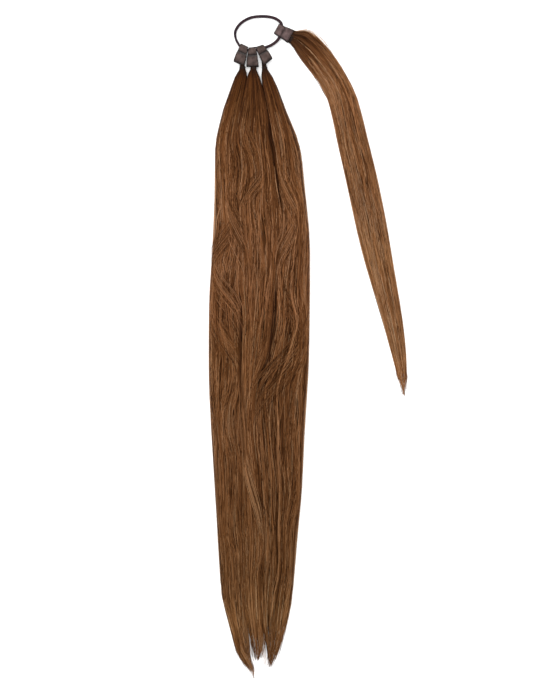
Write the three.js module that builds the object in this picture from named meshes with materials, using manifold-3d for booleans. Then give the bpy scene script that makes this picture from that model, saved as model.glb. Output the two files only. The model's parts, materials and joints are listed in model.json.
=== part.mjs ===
// Clip-in braid hairpiece: three long hair bundles for plaiting and one wrap strand, each bound at
// its root and held in a folded tab on a covered elastic ring that goes round a ponytail.
// It lies as it would on a table, on the plane z = 0. Millimetres, +Z up; the ring is towards +Y,
// the bundles fall towards -Y and the wrap strand lies on the +X side.
import * as THREE from "three";
import Module from "manifold-3d";

const wasm = await Module();
wasm.setup();

// Driving dimensions. Plan places are measured from the middle of the elastic ring.
const CLEARANCE = 0.3; // air between neighbouring pieces
const ELASTIC_RADIUS = 1.45;
const RING_STEPS = 60;
const RING_SIDES = 10;
const TAPE = 1; // wall of the tab's folded tape
const CASING_HEIGHT = 2 * (ELASTIC_RADIUS + CLEARANCE + TAPE); // tape, elastic and tape again
const BODY_HEIGHT = 7; // where the two ends of the tape hold the hair between them
const NECK_THICKNESS = 4; // a bound hair root
const NECK_LIFT = 1.5; // height of a bound root's underside over the table
const BINDING_WALL = 0.5; // wound thread round a root
const BINDING_LENGTH = 2;

// The elastic's own line round the ring, with its height over the table and its thickness as a
// share of the full one. It is drawn thin on the left below the kink where its ends are joined.
const ELASTIC_ROUTE = [
  { x: -21.1, y: 0.5, height: 1.5, share: 0.92 },
  { x: -19.4, y: 4.7, height: 1.5, share: 0.98 },
  { x: -15.2, y: 9.6, height: 1.5, share: 1.0 },
  { x: -7.4, y: 13.9, height: 1.5, share: 1.0 },
  { x: 3.2, y: 15.3, height: 1.5, share: 1.0 },
  { x: 11.6, y: 14.5, height: 1.9, share: 1.0 },
  { x: 17.4, y: 12.2, height: 2.5, share: 1.0 },
  { x: 20.8, y: 8.8, height: 2.75, share: 1.0 },
  { x: 21.4, y: 4.6, height: 2.75, share: 1.0 },
  { x: 20.8, y: -1.0, height: 2.75, share: 1.0 },
  { x: 18.2, y: -6.0, height: 2.75, share: 1.0 },
  { x: 12.4, y: -10.9, height: 2.75, share: 1.0 },
  { x: 2.3, y: -14.6, height: 2.75, share: 1.0 },
  { x: -5.5, y: -16.2, height: 2.75, share: 1.0 },
  { x: -9.6, y: -15.7, height: 2.75, share: 0.96 },
  { x: -13.4, y: -14.2, height: 2.75, share: 0.88 },
  { x: -16.6, y: -12.0, height: 2.75, share: 0.8 },
  { x: -18.8, y: -8.8, height: 2.2, share: 0.78 },
  { x: -20.5, y: -5.0, height: 1.7, share: 0.78 },
];

// Each tab: where the elastic runs through it, how far it is turned from pointing to -Y, how far
// its fold stands above the elastic, the half length of the casing's slot, the tab's length below
// the elastic, the depth of the pocket in its cut end and the height of the crease between them.
const TABS = namedRows(
  ["name", "x", "y", "turn", "fold", "slot", "length", "pocket", "crease"],
  [
    ["left", -13.4, -14.2, -17, 3.3, 2.3, 14.4, 7.4, 3.8],
    ["middle", -5.5, -16.2, 1.7, 3.3, 2.3, 14.6, 8.6, 3.8],
    ["right", 2.5, -14.5, 29, 3.3, 2.3, 13.6, 7.4, 3.8],
    ["wrap", 20.6, 1.5, 61.3, 5, 3.9, 10.4, 5.3, 6.6],
  ],
);

// Plan widths of a tab at its fold, at the elastic, below the casing and at its cut end.
const TAB_WIDTHS = {
  left: { fold: 7.0, elastic: 7.6, shoulder: 9.6, end: 10.6 },
  middle: { fold: 6.4, elastic: 7.0, shoulder: 9.3, end: 11.2 },
  right: { fold: 6.8, elastic: 7.6, shoulder: 9.2, end: 9.8 },
  wrap: { fold: 9.5, elastic: 9.8, shoulder: 11.2, end: 12.2 },
};

// How far the fold and the cut end of a tab lean from square: the rise along it for each
// millimetre across it.
const TAB_SKEWS = {
  left: { fold: -0.14, end: -0.1 },
  middle: { fold: 0.1, end: -0.03 },
  right: { fold: -0.2, end: 0.2 },
  wrap: { fold: 0, end: 0 },
};

// The three bundles side by side, a row for each cross section down the fall: the outer edges, the
// middle and the width of the two partings between the bundles, the depth of hair and the height
// of its underside over the table.
const FALL = namedRows(
  ["along", "left", "partLeft", "gapLeft", "partRight", "gapRight", "right", "depth", "lift"],
  [
    [23.5, -16.9, -9.6, 6.6, 0.3, 5.4, 6.6, 4, 1.5],
    [33.6, -16.4, -9.2, 6.2, 0.9, 6.2, 7.6, 4, 1.5],
    [36, -18.9, -9.6, 1.9, 1.1, 4.2, 10.8, 5, 1.1],
    [40, -21.1, -9.9, 0.6, 2.1, 2.0, 12.9, 6.2, 0.6],
    [50, -24.6, -11.4, 0.5, 4.1, 0.5, 17.6, 8.4, 0],
    [70, -31.7, -15.0, 0.5, 8.6, 0.5, 24.6, 10.5, 0],
    [106, -39.0, -20.0, 0.5, 13.2, 0.5, 38.2, 11.5, 0],
    [142, -39.2, -18.7, 0.5, 18.6, 0.5, 42.0, 11, 0],
    [197, -41.4, -16.8, 0.5, 19.6, 0.5, 46.8, 10, 0],
    [252, -44.5, -15.9, 0.5, 14.1, 0.5, 46.4, 9.5, 0],
    [306, -44.7, -15.9, 0.5, 3.2, 0.5, 45.3, 9.5, 0],
    [361, -42.4, -16.8, 0.5, -0.5, 0.5, 41.8, 9, 0],
    [415, -39.0, -15.9, 0.5, 3.2, 0.5, 39.4, 8.2, 0],
    [470, -36.1, -14.1, 0.5, 4.1, 0.5, 34.4, 7.2, 0],
    [515, -32.8, -12.3, 0.5, 3.6, 0.5, 30.8, 5.8, 0],
    [543, -25.4, -9.6, 0.5, 5.0, 0.5, 25.4, 4.4, 0],
    [551, -23.8, -7.9, 2.0, 6.0, 1.2, 23.2, 3.8, 0],
    [559, -21.9, -7.3, 3.6, 7.0, 4.6, 20.2, 3.1, 0],
    [568, -18.7, -5.8, 4.2, 6.4, 8.4, 17.1, 2.3, 0],
  ],
);
const FALL_STEP = 15; // longest spacing of the sections between two rows

// Height of the hair's blunt sides as a share of its depth: low at an outer edge, and high along a
// parting, where the bundles lie against each other as one mass.
const OUTER_SIDE = 0.34;
const PARTING_SIDE = 0.78;

// Each bundle's left and right side, the grooves on its top and the place where it comes to a point.
const BUNDLES = {
  left: { sides: [OUTER_SIDE, PARTING_SIDE], locks: 3, tip: { along: 585, x: -4.5 } },
  middle: { sides: [PARTING_SIDE, PARTING_SIDE], locks: 3, tip: { along: 575, x: -1.2 } },
  right: { sides: [PARTING_SIDE, OUTER_SIDE], locks: 3, tip: { along: 577, x: 13.4 } },
};

// The wrap strand's own line from its root in the tab to its tip, a row for each cross section.
const WRAP = [
  { x: 26.4, y: -1.7, half: 5.3, depth: 3.8, lift: 1.55 },
  { x: 32.4, y: -4.8, half: 5.4, depth: 3.8, lift: 1.55 },
  { x: 38.8, y: -6.5, half: 10.4, depth: 5.4, lift: 0.6 },
  { x: 47.6, y: -14.6, half: 12.3, depth: 6.6, lift: 0 },
  { x: 58.9, y: -28.6, half: 12.6, depth: 7, lift: 0 },
  { x: 70.1, y: -44.8, half: 11.8, depth: 7, lift: 0 },
  { x: 78.0, y: -63.7, half: 12.8, depth: 6.8, lift: 0 },
  { x: 85.7, y: -96.8, half: 13.3, depth: 6.5, lift: 0 },
  { x: 95.3, y: -137.8, half: 13.7, depth: 6.2, lift: 0 },
  { x: 103.6, y: -177.4, half: 13.5, depth: 6, lift: 0 },
  { x: 110.4, y: -210.1, half: 12.0, depth: 5.6, lift: 0 },
  { x: 118.4, y: -242.8, half: 9.9, depth: 5, lift: 0 },
  { x: 124.6, y: -272.0, half: 8.1, depth: 4.2, lift: 0 },
  { x: 129.4, y: -298.4, half: 5.8, depth: 3.2, lift: 0 },
  { x: 131.8, y: -316.2, half: 3.8, depth: 2.2, lift: 0 },
];
const WRAP_TIP = { x: 133.4, y: -332 };
const WRAP_SPANS = 2; // sections between two rows

// Cross section of a bundle of hair: shares of the hair's depth and half width.
const UNDERSIDE_SHARE = 0.86; // width of the flat that lies on the table
const TOP_SPANS = 12;
const RIDGE_SHARE = 0.16; // depth of the grooves between locks
const RIDGE_WAVE = 150; // length over which a groove sways once
const TIP_HEIGHT = 0.7;

// Locks that stand proud of a bundle, or that leave it near its end to a point of their own.
// A place is a distance down the hair and a share of the half width, -1 to 1.
const LOCKS = [
  { bundle: "left", from: 64, fromShare: 0.3, to: 236, toShare: -0.62, half: 5.2, proud: 1.5 },
  { bundle: "left", from: 214, fromShare: -0.5, to: 440, toShare: 0.42, half: 5.6, proud: 1.4 },
  { bundle: "middle", from: 58, fromShare: -0.3, to: 250, toShare: 0.35, half: 5.4, proud: 1.5 },
  { bundle: "middle", from: 300, fromShare: 0.2, to: 520, toShare: -0.3, half: 4, proud: 1.3 },
  { bundle: "right", from: 70, fromShare: -0.4, to: 262, toShare: 0.55, half: 5.6, proud: 1.5 },
  { bundle: "right", from: 226, fromShare: 0.3, to: 430, toShare: -0.6, half: 6.4, proud: 1.7 },
  { bundle: "wrap", from: 60, fromShare: 0.35, to: 250, toShare: -0.3, half: 4.2, proud: 1.1 },
];
const TIP_LOCKS = [
  { bundle: "left", from: 520, fromShare: -0.3, along: 577, x: -12.4, half: 3.4 },
  { bundle: "middle", from: 530, fromShare: 0.35, along: 570.5, x: 2.2, half: 2.2 },
  { bundle: "right", from: 525, fromShare: -0.1, along: 581.5, x: 9.8, half: 2.4 },
];
const LOCK_STEPS = 12;
const LOCK_SIDES = 6;

const MATERIALS = {
  elastic: new THREE.MeshStandardMaterial({ color: 0x43323a, roughness: 0.8, metalness: 0 }),
  tape: new THREE.MeshStandardMaterial({ color: 0x5c4b46, roughness: 0.95, metalness: 0 }),
  thread: new THREE.MeshStandardMaterial({ color: 0x2f2018, roughness: 0.75, metalness: 0 }),
  hair: new THREE.MeshStandardMaterial({ color: 0x6b4628, roughness: 0.5, metalness: 0 }),
};

// Rows of numbers as objects with the names of their columns.
function namedRows(columns, rows) {
  return rows.map((row) => Object.fromEntries(columns.map((column, i) => [column, row[i]])));
}

// A curve through the given values that never swings past them.
function steadyCurve(places, values) {
  const last = places.length - 1;
  const slopes = places.slice(1).map((place, i) => (values[i + 1] - values[i]) / (place - places[i]));
  const tangents = places.map((_, i) => {
    if (i === 0 || i === last) return slopes[Math.min(i, last - 1)];
    const [before, after] = [slopes[i - 1], slopes[i]];
    return before * after <= 0 ? 0 : (2 * before * after) / (before + after);
  });
  return (place) => {
    let i = 0;
    while (i < last - 1 && place > places[i + 1]) i += 1;
    const span = places[i + 1] - places[i];
    const t = (place - places[i]) / span;
    const rise = t * t * (3 - 2 * t);
    return (
      values[i] * (1 - rise) +
      values[i + 1] * rise +
      span * tangents[i] * t * (1 - t) ** 2 -
      span * tangents[i + 1] * t * t * (1 - t)
    );
  };
}

// The columns of a table as steady curves over one of them, read together at a place.
function smoothTable(rows, places) {
  const curves = Object.keys(rows[0]).map((column) => [
    column,
    steadyCurve(places, rows.map((row) => row[column])),
  ]);
  return (place) => Object.fromEntries(curves.map(([column, curve]) => [column, curve(place)]));
}

// Triangles between rings of equal length. An open skin is closed at both ends by a middle point;
// a skin that goes round joins its last ring to its first.
function skin(rings, { round = false, start, end } = {}) {
  const sides = rings[0].length;
  const points = rings.flat();
  const triangles = [];
  const spans = round ? rings.length : rings.length - 1;
  for (let r = 0; r < spans; r += 1) {
    for (let i = 0; i < sides; i += 1) {
      const next = (i + 1) % sides;
      const here = r * sides;
      const there = ((r + 1) % rings.length) * sides;
      triangles.push(here + i, there + next, here + next, here + i, there + i, there + next);
    }
  }
  if (!round) {
    const middle = (ring) =>
      ring.reduce((sum, point) => sum.add(point), new THREE.Vector3()).divideScalar(sides);
    const first = points.push(start ?? middle(rings[0])) - 1;
    const final = points.push(end ?? middle(rings.at(-1))) - 1;
    const tail = (rings.length - 1) * sides;
    for (let i = 0; i < sides; i += 1) {
      const next = (i + 1) % sides;
      triangles.push(first, i, next, final, tail + next, tail + i);
    }
  }
  return new THREE.BufferGeometry().setFromPoints(points).setIndex(triangles);
}

// A closed geometry as a solid that can be joined to others, and back.
function toSolid(geometry) {
  return new wasm.Manifold(
    new wasm.Mesh({
      numProp: 3,
      vertProperties: new Float32Array(geometry.attributes.position.array),
      triVerts: new Uint32Array(geometry.index.array),
    }),
  );
}

function fuse(geometries) {
  const joined = geometries.map(toSolid).reduce((whole, part) => whole.add(part));
  const { vertProperties, triVerts } = joined.getMesh();
  return new THREE.BufferGeometry()
    .setAttribute("position", new THREE.BufferAttribute(new Float32Array(vertProperties), 3))
    .setIndex(new THREE.BufferAttribute(new Uint32Array(triVerts), 1));
}

function piece(name, geometry, material) {
  const mesh = new THREE.Mesh(geometry, material);
  mesh.name = name;
  return mesh;
}

// The elastic: a round cord along its route, joined to itself.
function elasticRing() {
  const line = new THREE.CatmullRomCurve3(
    ELASTIC_ROUTE.map((row) => new THREE.Vector3(row.x, row.y, row.height)),
    true,
    "centripetal",
  );
  const shares = new THREE.CatmullRomCurve3(
    ELASTIC_ROUTE.map((row) => new THREE.Vector3(row.share, 0, 0)),
    true,
    "catmullrom",
  );
  const up = new THREE.Vector3(0, 0, 1);
  const rings = Array.from({ length: RING_STEPS }, (_, step) => {
    const t = step / RING_STEPS;
    const middle = line.getPoint(t);
    const outward = new THREE.Vector3().crossVectors(line.getTangent(t), up).normalize();
    const radius = ELASTIC_RADIUS * shares.getPoint(t).x;
    return Array.from({ length: RING_SIDES }, (_, side) => {
      const angle = (2 * Math.PI * side) / RING_SIDES;
      return middle
        .clone()
        .addScaledVector(outward, radius * Math.cos(angle))
        .addScaledVector(up, radius * Math.sin(angle));
    });
  });
  return piece("elastic_ring", skin(rings, { round: true }), MATERIALS.elastic);
}

// One tab: tape folded over the elastic, its two ends open below to take a hair root.
// The profile runs along the tab (first coordinate, fold up) and up from the table (second).
function tab({ name, x, y, turn, fold, slot, length, pocket, crease }) {
  const foldRadius = CASING_HEIGHT / 2;
  const casingEnd = -slot - TAPE;
  const shoulder = casingEnd - 2.2;
  const pocketEnd = pocket - length;
  const profile = new THREE.Shape()
    .moveTo(-length, 0)
    .lineTo(shoulder, 0)
    .lineTo(0, 0)
    .lineTo(fold - foldRadius, 0)
    .absarc(fold - foldRadius, foldRadius, foldRadius, -Math.PI / 2, Math.PI / 2)
    .lineTo(0, CASING_HEIGHT)
    .lineTo(casingEnd, CASING_HEIGHT - CLEARANCE)
    .lineTo(casingEnd - 0.8, crease)
    .lineTo(shoulder, BODY_HEIGHT - CLEARANCE)
    .lineTo(-length, BODY_HEIGHT)
    .lineTo(-length, BODY_HEIGHT - TAPE)
    .lineTo(pocketEnd - TAPE, BODY_HEIGHT - TAPE)
    .lineTo(pocketEnd, BODY_HEIGHT / 2)
    .lineTo(pocketEnd - TAPE, TAPE)
    .lineTo(-length, TAPE);
  const bore = foldRadius - TAPE;
  profile.holes.push(
    new THREE.Path()
      .absarc(slot - bore, foldRadius, bore, -Math.PI / 2, Math.PI / 2)
      .absarc(bore - slot, foldRadius, bore, Math.PI / 2, (3 * Math.PI) / 2),
  );
  const geometry = new THREE.ExtrudeGeometry(profile, {
    depth: 1,
    bevelEnabled: false,
    curveSegments: 6,
  });
  const widths = TAB_WIDTHS[name];
  const width = steadyCurve(
    [-length, shoulder, 0, fold],
    [widths.end, widths.shoulder, widths.elastic, widths.fold],
  );
  const skews = TAB_SKEWS[name];
  const skew = (up) => THREE.MathUtils.lerp(skews.fold, skews.end, (fold - up) / (fold + length));
  const { position } = geometry.attributes;
  for (let i = 0; i < position.count; i += 1) {
    const [up, height] = [position.getX(i), position.getY(i)];
    const across = (position.getZ(i) - 0.5) * width(up);
    position.setXYZ(i, across, up + skew(up) * across, height);
  }
  const made = piece(`tab_${name}`, geometry, MATERIALS.tape);
  made.position.set(x, y, 0);
  made.rotation.z = THREE.MathUtils.degToRad(turn);
  return made;
}

// Thread wound round a hair root just below its tab: a flat sleeve round the neck.
function rootBinding({ name, x, y, turn, half }) {
  const rounded = (path, halfWidth, halfHeight, radius) =>
    path
      .moveTo(halfWidth, radius - halfHeight)
      .absarc(halfWidth - radius, halfHeight - radius, radius, 0, Math.PI / 2)
      .absarc(radius - halfWidth, halfHeight - radius, radius, Math.PI / 2, Math.PI)
      .absarc(radius - halfWidth, radius - halfHeight, radius, Math.PI, 1.5 * Math.PI)
      .absarc(halfWidth - radius, radius - halfHeight, radius, 1.5 * Math.PI, 2 * Math.PI);
  const inner = { width: half + CLEARANCE, height: NECK_THICKNESS / 2 + CLEARANCE };
  const outline = rounded(
    new THREE.Shape(),
    inner.width + BINDING_WALL,
    inner.height + BINDING_WALL,
    1.2,
  );
  outline.holes.push(rounded(new THREE.Path(), inner.width, inner.height, 0.6));
  const geometry = new THREE.ExtrudeGeometry(outline, {
    depth: BINDING_LENGTH,
    bevelEnabled: false,
    curveSegments: 3,
  });
  geometry.rotateX(Math.PI / 2);
  const made = piece(`root_binding_${name}`, geometry, MATERIALS.thread);
  made.position.set(x, y, NECK_LIFT + NECK_THICKNESS / 2);
  made.rotation.z = THREE.MathUtils.degToRad(turn);
  return made;
}

// Height of the hair's top over its underside at a place across it, as a share of its depth.
function crown(share, along, { sides, locks }) {
  const side = THREE.MathUtils.lerp(sides[0], sides[1], (share + 1) / 2);
  const round = (1 - Math.abs(share) ** 2.6) ** 0.6;
  const sway = 0.5 * Math.sin((2 * Math.PI * along) / RIDGE_WAVE);
  const groove = 0.5 - 0.5 * Math.cos(Math.PI * locks * (share + 1) + sway);
  return side + (1 - side) * round * (1 - RIDGE_SHARE * groove);
}

// A cross section of hair as [place across, height], from the left side over the top and back.
function hairSection({ left, right, depth, lift }, along, dressing) {
  const middle = (left + right) / 2;
  const half = (right - left) / 2;
  const top = Array.from({ length: TOP_SPANS + 1 }, (_, i) => {
    const share = (2 * i) / TOP_SPANS - 1;
    return [middle + half * share, lift + depth * crown(share, along, dressing)];
  });
  const under = [1, 0, -1].map((side) => [middle + half * UNDERSIDE_SHARE * side, lift]);
  return [...top, ...under];
}

// A lock lying along a line of points, pointed at both ends.
function lockSkin(line, half, proud) {
  const rings = line.slice(1, -1).map((point, step) => {
    const q = (step + 1) / (line.length - 1);
    const swell = Math.sin(Math.PI * q) ** 0.6;
    const ahead = line[step + 2].clone().sub(line[step]);
    const across = new THREE.Vector3(-ahead.y, ahead.x, 0).normalize();
    return Array.from({ length: LOCK_SIDES }, (_, side) => {
      const angle = (2 * Math.PI * side) / LOCK_SIDES;
      const ring = point.clone().addScaledVector(across, -half * swell * Math.cos(angle));
      ring.z += proud * swell * Math.sin(angle);
      return ring;
    });
  });
  return skin(rings, { start: line[0], end: line.at(-1) });
}

// Hair as a form: its cross sections can be read at any distance along it, and any place on its
// top surface found from that distance and a share of its half width.
function hairForm({ read, place, dressing }) {
  const onTop = (along, share) => {
    const row = read(along);
    const middle = (row.left + row.right) / 2;
    const half = (row.right - row.left) / 2;
    return place(along, middle + half * share, row.lift + row.depth * crown(share, along, dressing));
  };
  const ring = (along) =>
    hairSection(read(along), along, dressing).map(([across, height]) => place(along, across, height));
  return { onTop, ring };
}

// Locks lying on a form: each sinks in at both ends and drifts across between its two places.
function raisedLock(form, { from, to, fromShare, toShare, half, proud }) {
  const sunk = 0.35 * proud;
  const line = Array.from({ length: LOCK_STEPS + 1 }, (_, step) => {
    const q = step / LOCK_STEPS;
    const drift = q * q * (3 - 2 * q);
    const point = form.onTop(from + (to - from) * q, fromShare + (toShare - fromShare) * drift);
    point.z -= sunk + proud * (1 - Math.sin(Math.PI * q));
    return point;
  });
  return lockSkin(line, half, proud);
}

// A lock that leaves a bundle before its end and comes to a point of its own on the table.
function tipLock(form, { from, fromShare, along, x, half }) {
  const root = form.onTop(from, fromShare);
  root.z *= 0.5;
  const tip = new THREE.Vector3(x, -along, TIP_HEIGHT);
  const line = Array.from({ length: LOCK_STEPS / 2 + 1 }, (_, step) =>
    root.clone().lerp(tip, step / (LOCK_STEPS / 2)),
  );
  return lockSkin(line, half, TIP_HEIGHT);
}

function locksOf(name, form) {
  return [
    ...LOCKS.filter(({ bundle }) => bundle === name).map((lock) => raisedLock(form, lock)),
    ...TIP_LOCKS.filter(({ bundle }) => bundle === name).map((lock) => tipLock(form, lock)),
  ];
}

// Distances down the fall at which the bundles have a cross section.
function fallStations() {
  return FALL.slice(1).flatMap((row, i) => {
    const start = FALL[i].along;
    const spans = Math.ceil((row.along - start) / FALL_STEP);
    const first = i === 0 ? 0 : 1;
    return Array.from(
      { length: spans + 1 - first },
      (_, step) => start + ((row.along - start) * (step + first)) / spans,
    );
  });
}

// One of the three bundles that lie side by side, each keeping to its own side of the partings.
function bundle(name) {
  const table = smoothTable(FALL, FALL.map((row) => row.along));
  const edges = {
    left: (row) => [row.left, row.partLeft - row.gapLeft / 2],
    middle: (row) => [row.partLeft + row.gapLeft / 2, row.partRight - row.gapRight / 2],
    right: (row) => [row.partRight + row.gapRight / 2, row.right],
  }[name];
  const read = (along) => {
    const row = table(along);
    const [left, right] = edges(row);
    return { left, right, depth: row.depth, lift: row.lift };
  };
  const place = (along, across, height) => new THREE.Vector3(across, -along, height);
  const { tip, ...dressing } = BUNDLES[name];
  const form = hairForm({ read, place, dressing });
  const body = skin(fallStations().map(form.ring), {
    end: new THREE.Vector3(tip.x, -tip.along, TIP_HEIGHT),
  });
  return piece(`hair_${name}`, fuse([body, ...locksOf(name, form)]), MATERIALS.hair);
}

// The wrap strand: a flat bundle along a line that leaves its tab sideways and turns down.
function wrapStrand() {
  const line = new THREE.CatmullRomCurve3(
    WRAP.map(({ x, y }) => new THREE.Vector3(x, y, 0)),
    false,
    "centripetal",
  );
  const rows = WRAP.length - 1;
  const table = smoothTable(WRAP, WRAP.map((_, i) => i / rows));
  const length = line.getLength();
  const share = (along) => Math.min(1, along / length);
  const read = (along) => {
    const { half, depth, lift } = table(share(along));
    return { left: -half, right: half, depth, lift };
  };
  const place = (along, across, height) => {
    const t = share(along);
    const ahead = line.getTangent(t);
    const point = line.getPoint(t);
    return new THREE.Vector3(point.x - ahead.y * across, point.y + ahead.x * across, height);
  };
  const form = hairForm({ read, place, dressing: { sides: [OUTER_SIDE, OUTER_SIDE], locks: 2 } });
  const stations = rows * WRAP_SPANS;
  const rings = Array.from({ length: stations + 1 }, (_, i) => form.ring((length * i) / stations));
  const body = skin(rings, { end: new THREE.Vector3(WRAP_TIP.x, WRAP_TIP.y, TIP_HEIGHT) });
  return piece("hair_wrap", fuse([body, ...locksOf("wrap", form)]), MATERIALS.hair);
}

// The bindings sit on the necks, clear of the tabs' cut ends.
const neck = FALL[1];
const necks = {
  left: [neck.left, neck.partLeft - neck.gapLeft / 2],
  middle: [neck.partLeft + neck.gapLeft / 2, neck.partRight - neck.gapRight / 2],
  right: [neck.partRight + neck.gapRight / 2, neck.right],
};
const BINDING_ALONG = 31.4;
const fallBindings = Object.entries(necks).map(([name, [left, right]]) =>
  rootBinding({ name, x: (left + right) / 2, y: -BINDING_ALONG, turn: 0, half: (right - left) / 2 }),
);
const wrapTab = TABS.find(({ name }) => name === "wrap");
const wrapTurn = THREE.MathUtils.degToRad(wrapTab.turn);
const wrapReach = wrapTab.length + CLEARANCE;
const wrapBinding = rootBinding({
  name: "wrap",
  x: wrapTab.x + wrapReach * Math.sin(wrapTurn),
  y: wrapTab.y - wrapReach * Math.cos(wrapTurn),
  turn: wrapTab.turn,
  half: WRAP[0].half,
});

// The whole hairpiece, moved so that its origin is on the table under the middle of its outline.
const hairpiece = new THREE.Group();
hairpiece.name = "braid_hairpiece";
hairpiece.add(
  elasticRing(),
  ...TABS.map(tab),
  ...fallBindings,
  wrapBinding,
  ...Object.keys(BUNDLES).map(bundle),
  wrapStrand(),
);
const outline = new THREE.Box3().setFromObject(hairpiece, true);
const centre = outline.getCenter(new THREE.Vector3());
hairpiece.position.set(-centre.x, -centre.y, -outline.min.z);

export default hairpiece;
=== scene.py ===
"""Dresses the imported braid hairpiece: strands of hair, folded suede tabs, wound roots and elastic.

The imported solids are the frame, and the places and sizes of what is made here are read from them.
Lengths are in metres, with +Z up from the table and +Y along the fall of the hair, towards the
elastic ring.
"""
from __future__ import annotations

import json
import logging
import math
from abc import ABC, abstractmethod
from dataclasses import dataclass, field
from enum import Enum

import bmesh
import bpy
import numpy as np
from mathutils import Matrix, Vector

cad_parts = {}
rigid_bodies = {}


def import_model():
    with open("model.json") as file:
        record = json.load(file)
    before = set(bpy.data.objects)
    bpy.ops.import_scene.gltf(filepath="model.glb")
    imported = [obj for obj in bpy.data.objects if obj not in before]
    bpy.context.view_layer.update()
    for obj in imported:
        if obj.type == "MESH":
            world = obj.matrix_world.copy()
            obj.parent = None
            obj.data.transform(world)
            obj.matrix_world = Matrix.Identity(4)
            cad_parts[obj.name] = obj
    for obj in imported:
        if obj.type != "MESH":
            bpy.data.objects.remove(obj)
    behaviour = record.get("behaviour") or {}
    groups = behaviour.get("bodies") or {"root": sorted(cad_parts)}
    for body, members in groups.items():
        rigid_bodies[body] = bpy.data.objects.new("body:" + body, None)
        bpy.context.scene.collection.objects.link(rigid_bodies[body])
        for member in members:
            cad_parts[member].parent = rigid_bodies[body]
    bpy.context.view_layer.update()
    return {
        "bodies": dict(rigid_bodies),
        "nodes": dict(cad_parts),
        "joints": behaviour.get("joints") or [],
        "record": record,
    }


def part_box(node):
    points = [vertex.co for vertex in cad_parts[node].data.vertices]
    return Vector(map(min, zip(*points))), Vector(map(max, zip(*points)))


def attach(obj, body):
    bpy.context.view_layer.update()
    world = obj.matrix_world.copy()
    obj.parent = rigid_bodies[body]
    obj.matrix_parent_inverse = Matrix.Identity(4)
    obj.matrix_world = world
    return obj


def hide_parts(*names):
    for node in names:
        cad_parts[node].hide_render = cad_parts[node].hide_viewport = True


Colour = tuple[float, float, float]
Stop = tuple[float, Colour]
Span = tuple[float, float]

LOG = logging.getLogger("hairpiece")
MM = 0.001
ROOT_BODY = "root"
STRAND_MAP = "OFBake"
TAPE_MAP = "tape"
CORD_MAP = "cord"
PICTURE_TALL = 700
METRES_PER_PIXEL = 0.913 * MM
UP = np.array([0.0, 0.0, 1.0])
ORIGIN = (0.0, 0.0, 0.0)
WHITE = (1.0, 1.0, 1.0)
FULL_TURN = 2.0 * np.pi
MERGE_REACH = 0.01 * MM
STRAND_SIDES = 3
FEW_OCTAVES = 2.0
RING_PIECE = "elastic_ring_cord"


class StrandKind(Enum):
    """Where a strand lies in its bundle."""

    LOCK = "in a lock on top"
    EDGE = "down a side"
    UNDER = "on the table side"
    STRAY = "loose across the top"
    MINGLE = "in a short wisp that shows between the locks"
    SWEEP = "in a short lock that sweeps across the others"
    FLYAWAY = "bowed out past a side"


class NoiseKind(Enum):
    """Scales of the mottling of napped tape, in cells a metre."""

    NAP = 2600.0
    PATCH = 260.0


def rgba(colour: Colour) -> tuple[float, float, float, float]:
    """Returns a colour with full alpha, as the shader sockets want it."""
    return (*colour, 1.0)


def select_only(piece: bpy.types.Object) -> None:
    """Makes one object the active and only selected one.

    Args:
        piece: The object.
    """
    for other in bpy.context.selected_objects:
        other.select_set(False)
    piece.select_set(True)
    bpy.context.view_layer.objects.active = piece


def edit_all(piece: bpy.types.Object) -> None:
    """Goes into edit mode with all of a mesh selected.

    Args:
        piece: The mesh object.
    """
    select_only(piece)
    bpy.ops.object.mode_set(mode="EDIT")
    bpy.ops.mesh.select_all(action="SELECT")


def apply_modifier(piece: bpy.types.Object, kind: str, **settings: object) -> None:
    """Adds a modifier to a piece and applies it at once.

    Args:
        piece: The mesh object to change.
        kind: Blender's name for the modifier type.
        settings: Values for the modifier's own properties.
    """
    select_only(piece)
    modifier = piece.modifiers.new(kind.lower(), kind)
    for name, value in settings.items():
        setattr(modifier, name, value)
    bpy.ops.object.modifier_apply(modifier=modifier.name)


def turn_about_z(degrees: float) -> np.ndarray:
    """Works out a turn about +Z.

    Args:
        degrees: The angle.

    Returns:
        The 3 by 3 matrix.
    """
    angle = math.radians(degrees)
    return np.array(
        [
            [math.cos(angle), -math.sin(angle), 0.0],
            [math.sin(angle), math.cos(angle), 0.0],
            [0.0, 0.0, 1.0],
        ]
    )


def corners_of(mesh: bpy.types.Mesh) -> np.ndarray:
    """Reads a mesh's corners.

    Args:
        mesh: The mesh.

    Returns:
        The corners, one a row.
    """
    corners = np.empty(len(mesh.vertices) * 3)
    mesh.vertices.foreach_get("co", corners)
    return corners.reshape(-1, 3)


def ease(value: np.ndarray) -> np.ndarray:
    """Returns values from 0 to 1 with a soft start and end."""
    return value * value * (3.0 - 2.0 * value)


def fade(value: np.ndarray, start: float, end: float) -> np.ndarray:
    """Returns numbers that go softly from 0 at the start to 1 at the end."""
    return ease(np.clip((value - start) / (end - start), 0.0, 1.0))


def between(
    low: np.ndarray | float, high: np.ndarray | float, share: np.ndarray | float
) -> np.ndarray | float:
    """Returns the values at a share of the way from one to the other."""
    return low + (high - low) * share


def joined(pieces: list[bpy.types.Object], name: str) -> bpy.types.Object:
    """Joins several objects into one.

    Args:
        pieces: The objects, each with a mesh of its own.
        name: The name of the joined object.

    Returns:
        The joined object.
    """
    select_only(pieces[0])
    for piece in pieces:
        piece.select_set(True)
    bpy.ops.object.join()
    made = bpy.context.active_object
    made.name = name
    made.data.name = name
    return made


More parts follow.
